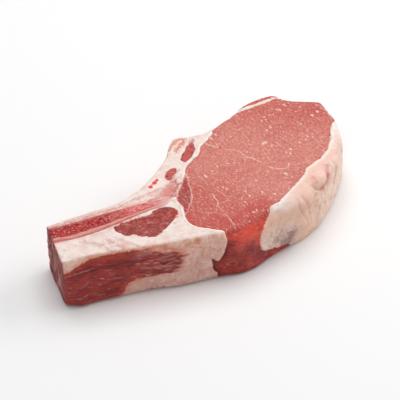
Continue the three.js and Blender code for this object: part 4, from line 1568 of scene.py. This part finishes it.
        # how much of the wall's colour shows: by the wall share, and on the cap only below a ragged height
        wall_share = g.times(g.fade(g.shifted(wall, cloudy, 1.2), 0.15, 0.95), shoulder)
        at_flank = g.fade(g.shifted(g.value("flank"), fine, 3.0), -2.6, -0.2)
        colour = g.coats(
            g.blend(wall_share, self.fat_face(g, cloudy, fine, speck), self.fat_wall(g, cloudy, speck)),
            (g.fade(g.rough("blush", 2.0, 0.9), 0.18, 0.85), 0.85, f.blush),
            (g.fade(g.rough("amber", 1.3, 1.4), 0.25, 1.0), 0.85, f.amber),
            (at_flank, wall, 0.5, f.amber),
            (g.fade(g.rough("bruise", 1.3, 1.3), 0.20, 1.0), 0.9, f.bruise),
            (g.fade(g.rough("nick", 0.9, 1.8), 0.45, 0.85), 0.9, f.nick),
            (g.fade(g.rough("blood", 0.9, 0.6), 0.40, 0.70), 0.9, f.blood),
        )
        return colour, g.total(g.times(fine, 0.10), g.times(cloudy, 0.2), g.times(speck, 0.08))

    @staticmethod
    def strands(g: Graph) -> Socket:
        """How much of a red strand shows: ragged streaks along the marked paths."""
        signed, away, strength = g.triple("strand")
        soft = g.fade(g.size(g.shifted(signed, g.cloud(2.0, 4.0), 4.0)), 1.8, 0.5)
        broken = g.fade(g.cloud(2.4, 3.0, 0.6), 0.32, 0.50)
        return g.times(soft, g.fade(away, 3.4, 1.4), strength, broken)

    @staticmethod
    def network(g: Graph) -> Socket:
        """How much of a wrinkle shows: the borders of bent cells, broken by noise."""
        net = g.cells(g.warped(g.place, 5.0, 3.4), 5.0, "DISTANCE_TO_EDGE").outputs["Distance"]
        return g.times(g.fade(net, 0.10, 0.01), g.fade(g.cloud(7.0), 0.44, 0.58))

    def bone(self, g: Graph) -> tuple[Socket, Socket]:
        """The sawn rib: marrow full of pores and spicules, then its wall, then a thin red line.

        Args:
            g: The material's graph.

        Returns:
            The colour and the fine height in millimetres.
        """
        f = self.bone_finish
        share = g.shifted(g.value("rib_share"), g.cloud(2.2, 4.0), 0.2)
        x, _, _ = g.parts(g.place)
        fresh = g.fade(g.shifted(x, g.cloud(5.0), 14.0), -34.0, -50.0)
        along = g.turned(g.place, 13.0)
        grit = g.noise(g.scaled(along, (0.75, 1.0, 1.0)), 1.5, 4.0, 0.7)
        specks = g.noise(g.scaled(along, (0.8, 1.0, 1.0)), 1.0, 3.0, 0.65)
        marrow = g.coats(
            f.marrow,
            (g.fade(grit, 0.52, 0.40), 0.8, f.marrow_deep),
            (g.fade(specks, 0.51, 0.62), 0.8, f.spicule),
        )
        pink = g.blend(g.fade(grit, 0.35, 0.62), f.bright, f.spicule)
        streaks = g.noise(g.scaled(along, (0.16, 1.0, 1.0)), 0.9, 4.0, 0.65)
        wall = g.blend(g.fade(streaks, 0.40, 0.64), f.wall_grey, f.wall)
        low = g.shifted(share, g.cloud(4.0), 0.16)
        colour = g.coats(
            g.blend(fresh, pink, marrow),
            (g.fade(share, 0.56, 0.64), 0.7, f.bright),
            (g.fade(share, 0.69, 0.77), wall),
            (g.fade(low, 0.84, 0.92), g.fade(low, 1.08, 0.98), g.fade(streaks, 0.3, 0.5), 0.85, f.line),
            (g.fade(share, 0.14, 0.02), 0.8, f.brim),
        )
        rough = g.times(g.fade(share, 0.72, 0.62), g.between(fresh, 0.45, 1.0))
        return colour, g.times(rough, g.total(g.times(grit, 0.9), g.times(specks, 0.4)))

    def chine(self, g: Graph) -> Socket:
        """The chine bone's colour: pale gristle streaked with red."""
        f = self.bone_finish
        cloudy = g.cloud(3.0, 4.0)
        return g.coats(
            g.blend(g.times(g.fade(cloudy, 0.42, 0.66), 0.6), f.gristle, f.wall),
            (g.fade(g.rough("blush", 1.5, 1.0), 0.1, 0.8), 0.6, f.gore),
            (self.strands(g), f.gore),
        )

    def end(self, g: Graph) -> Socket:
        """The sawn end's colour: the rib's grey section in a pale rim, streaked from top to bottom."""
        f, lean = self.bone_finish, self.lean_finish
        _, y, z = g.parts(g.place)
        upright = g.noise(g.scaled(g.warped(g.place, 3.0, 1.0), (1.0, 1.0, 0.13)), 1.3, 4.0, 0.7)
        section = g.shifted(g.value("section"), upright, 0.5)
        band = g.times(g.fade(upright, 0.40, 0.56), g.fade(z, 6.0, 9.0), g.fade(z, 17.0, 12.0))
        off = g.size(g.math("SUBTRACT", y, 2.2))
        return g.coats(
            g.blend(g.fade(upright, 0.42, 0.60), lean.flank_deep, lean.flank_base),
            (band, g.fade(off, 2.6, 0.8), f.end_pale),
            (g.fade(section, -0.05, 0.10), f.end_brown),
            (g.fade(section, 0.05, 0.15), g.fade(upright, 0.40, 0.60), f.end_grey),
            (g.fade(y, 17.5, 19.5), g.fade(upright, 0.3, 0.55), 0.8, f.line),
            (g.fade(y, -0.2, -1.4), 0.8, f.end_corner),
        )

    def build(self) -> dict[Slot, bpy.types.Material]:
        """One material for each slot, all with the same nodes.

        Lean shows where the signed distance to it is above zero, and fat shows elsewhere, so a seam
        runs on from piece to piece. Bone lies over both, and the sawn end over all.

        Returns:
            The finished materials.
        """
        g = Graph("flesh")
        wall = g.value("wall")
        lean, lean_height = self.lean(g, wall)
        fat, fat_height = self.fat(g, wall)
        bone, bone_height = self.bone(g)
        ragged = g.times(g.centred(g.noise(g.warped(g.place, 1.2, 0.8), 1.0, 4.0, 0.7)), 1.0)
        x, _, _ = g.parts(g.place)
        melting = g.times(g.fade(x, -20.0, -26.0), g.fade(x, -52.0, -38.0), wall)
        edge = g.times(g.total(g.value("lean"), ragged), g.between(melting, 1.0, 0.2))
        lean_share = g.fade(edge, -0.2, 0.2)
        merging = g.times(g.fade(g.total(x, g.times(ragged, 10.0)), -30.0, -15.0), 0.8)
        bone_share = g.fade(g.total(g.value("bone"), g.times(ragged, 0.6)), -0.15, 0.25)
        bone_share = g.times(bone_share, g.rest(merging))
        chine_edge = g.total(g.value("chine"), g.times(ragged, g.between(wall, 1.5, 5.0)))
        colour = g.coats(
            g.blend(lean_share, fat, lean),
            (bone_share, bone),
            (g.fade(chine_edge, -0.6, 1.0), self.chine(g)),
            (g.value("end"), self.end(g)),
        )
        height = g.between(bone_share, g.between(lean_share, fat_height, lean_height), bone_height)
        self.surface(g, colour, height, lean_share)
        materials = {slot: g.material.copy() for slot in Slot}
        for slot, material in materials.items():
            material.name = slot.value
        bpy.data.materials.remove(g.material)
        return materials

    @staticmethod
    def surface(g: Graph, colour: Socket, height: Socket, lean_share: Socket) -> None:
        """Joins colour, height and wetness in the surface shader."""
        bump = g.add("ShaderNodeBump", {"Strength": 1.0, "Distance": MM, "Height": height})
        inputs = {
            "Base Color": colour,
            "Roughness": g.shifted(g.between(lean_share, 0.50, 0.42), g.cloud(4.0), 0.3),
            "Specular IOR Level": 0.22,
            "Coat Weight": 0.05,
            "Coat Roughness": 0.2,
            "Normal": bump.outputs[0],
        }
        shader = g.add("ShaderNodeBsdfPrincipled", inputs)
        g.add("ShaderNodeOutputMaterial", {"Surface": shader.outputs[0]})


class Chop:
    """The dressed chop: its surface, cut into one piece for each node of the frame."""

    SLOTS = {
        "loin_eye": Slot.LOIN,
        "inner_lean": Slot.DARK,
        "edge_lean": Slot.DARK,
        "edge_seam_fat": Slot.FAT,
        "fat_cap": Slot.FAT,
        "rib_fat": Slot.FAT,
        "rib_bone": Slot.RIB,
        "chine_bone": Slot.CHINE,
        "rib_lean": Slot.DARK,
        "chine_lean_upper": Slot.DARK,
        "chine_lean_lower": Slot.DARK,
        "flank_lean": Slot.DARK,
    }
    SHARP = math.radians(55)

    def __init__(self, plan: ChopPlan, flesh: Flesh) -> None:
        """Prepares the form, the outlines and the materials."""
        self.plan = plan
        self.form = Form(plan)
        self.outlines = Outlines(plan)
        self.tissue = Tissue(plan, self.outlines)
        self.masks = Masks(self.tissue)
        self.materials = flesh.build()
        self.bench = Bench()

    def whole(self) -> Solid:
        """The whole chop as one closed mesh, with its relief."""
        unit, quads = self.form.lattice()
        places = self.form.lay(unit)
        normals = Form.normals(places, quads)
        height = Relief().at(places, self.tissue.at(places))
        return self.bench.piece("whole", places + normals * height[:, None], quads.tolist())

    def on_wall(self, region: Region, depth: float) -> Solid:
        """A wall outline's block, kept within a depth of the skin side."""
        level = self.bench.block(region, upright=False)
        return self.bench.combine(level, self.bench.block(self.outlines.band(depth)), Cut.KEEP)

    def split(self, base: Solid, cutter: Solid) -> tuple[Solid, ...]:
        """What of the base lies inside the cutter, and what lies outside it."""
        return self.bench.combine(base, cutter, Cut.KEEP), self.bench.combine(base, cutter, Cut.LOSE)

    def cut(self) -> dict[str, Solid]:
        """The whole chop cut along its seams.

        Returns:
            One object for each node, by its name.
        """
        o, plan, bench = self.outlines, self.plan, self.bench
        toe = self.on_wall(o.toe, plan.toe_depth)
        lobe = self.on_wall(o.cap_lobe, plan.lobe_depth)
        cap_joined = bench.combine(bench.block(o.cap_side), lobe, Cut.JOIN)
        areas = {
            "rib_fat": bench.combine(bench.block(o.rib_side), toe, Cut.LOSE),
            "fat_cap": bench.combine(cap_joined, toe, Cut.LOSE),
            "edge_seam_fat": bench.block(o.edge_side),
            "inner_lean": bench.block(o.inner_side),
        }
        pieces = {}
        rest = self.whole()
        for name, area in areas.items():
            pieces[name], rest = self.split(rest, area)
        pieces["loin_eye"] = rest
        lean = bench.block(o.edge_lean)
        pieces["edge_lean"], pieces["edge_seam_fat"] = self.split(pieces["edge_seam_fat"], lean)
        inserts = {"flank_lean": self.on_wall(o.flank, plan.flank_depth)}
        for name, region in o.insets.items():
            inserts[name] = bench.block(region)
        for name, block in inserts.items():
            pieces[name], pieces["rib_fat"] = self.split(pieces["rib_fat"], block)
        bench.clear(list(pieces.values()))
        return pieces

    def dress(self, name: str, obj: Solid) -> None:
        """Names a piece, gives it its attributes and material, and ties it to the frame."""
        obj.name = obj.data.name = f"{name}_flesh"
        mesh = obj.data
        places = np.zeros(len(mesh.vertices) * 3, np.float32)
        mesh.vertices.foreach_get("co", places)
        places = places.reshape(-1, 3).astype(float) / MM
        for key, values in self.masks.at(places).items():
            kind, target = ("FLOAT", "value") if values.ndim == 1 else ("FLOAT_VECTOR", "vector")
            attribute = mesh.attributes.new(key, kind, "POINT")
            attribute.data.foreach_set(target, values.astype(np.float32).ravel())
        mesh.shade_smooth()
        mesh.set_sharp_from_angle(angle=self.SHARP)
        slot = self.SLOTS[name]
        mesh.materials.clear()
        mesh.materials.append(self.materials[slot])
        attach(obj, "root")
        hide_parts(name)
        LOG.info("%s: %d faces", obj.name, len(mesh.polygons))

    def build(self) -> None:
        """Makes and dresses every piece."""
        for name, obj in self.cut().items():
            self.dress(name, obj)


@dataclass(frozen=True)
class Studio:
    """A pale floor, soft light and the photograph's camera."""

    target: tuple[float, float, float] = (-8.2, -6.4, 27.5)
    azimuth: float = -36.0
    elevation: float = 45.0
    distance: float = 792.0
    view_width: float = 176.0
    sensor: float = 36.0
    floor: Colour = (0.93, 0.93, 0.93, 1.0)

    def back(self) -> Vector:
        """The unit vector from the target to the camera."""
        a, e = math.radians(self.azimuth), math.radians(self.elevation)
        return Vector((math.sin(a) * math.cos(e), -math.cos(a) * math.cos(e), math.sin(e)))

    def camera(self) -> None:
        """A long lens that spans the view's width at the target."""
        data = bpy.data.cameras.new("camera")
        data.sensor_width = self.sensor
        data.lens = self.sensor * self.distance / self.view_width
        data.clip_start = 0.01
        obj = bpy.data.objects.new("camera", data)
        obj.location = (Vector(self.target) + self.back() * self.distance) * MM
        obj.rotation_euler = self.back().to_track_quat("Z", "Y").to_euler()
        bpy.context.scene.collection.objects.link(obj)
        bpy.context.scene.camera = obj

    def light(self, name: str, place: Sequence[float], size: float, power: float) -> None:
        """A square soft light that looks at the chop."""
        data = bpy.data.lights.new(name, "AREA")
        data.size, data.energy = size, power
        obj = bpy.data.objects.new(name, data)
        obj.location = place
        obj.rotation_euler = Vector(place).to_track_quat("Z", "Y").to_euler()
        bpy.context.scene.collection.objects.link(obj)

    def build(self) -> None:
        """Sets the floor, the lights, the surroundings and the camera."""
        side = 3000.0
        corners = np.array([(-side, -side, 0), (side, -side, 0), (side, side, 0), (-side, side, 0)])
        floor = Bench().piece("floor", corners - (0, 0, 0.2), [(0, 1, 2, 3)])
        g = Graph("floor")
        shader = g.add("ShaderNodeBsdfPrincipled", {"Base Color": self.floor, "Roughness": 0.9})
        g.add("ShaderNodeOutputMaterial", {"Surface": shader.outputs[0]})
        floor.data.materials.append(g.material)
        self.light("overhead", (0.15, 0.25, 1.1), 0.9, 8.0)
        self.light("right", (1.0, -0.2, 0.7), 0.7, 5.0)
        world = bpy.data.worlds.new("surroundings")
        world.use_nodes = True
        background = world.node_tree.nodes["Background"]
        background.inputs["Color"].default_value = (1.0, 1.0, 1.0, 1.0)
        background.inputs["Strength"].default_value = 0.38
        bpy.context.scene.world = world
        bpy.context.scene.view_settings.view_transform = "Standard"
        self.camera()


def main() -> None:
    """Loads the frame, and builds the chop and the studio."""
    logging.basicConfig(level=logging.INFO, format="%(name)s: %(message)s")
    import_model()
    Chop(ChopPlan(), Flesh(LeanFinish(), FatFinish(), BoneFinish())).build()
    Studio().build()


if __name__ == "__main__":
    main()
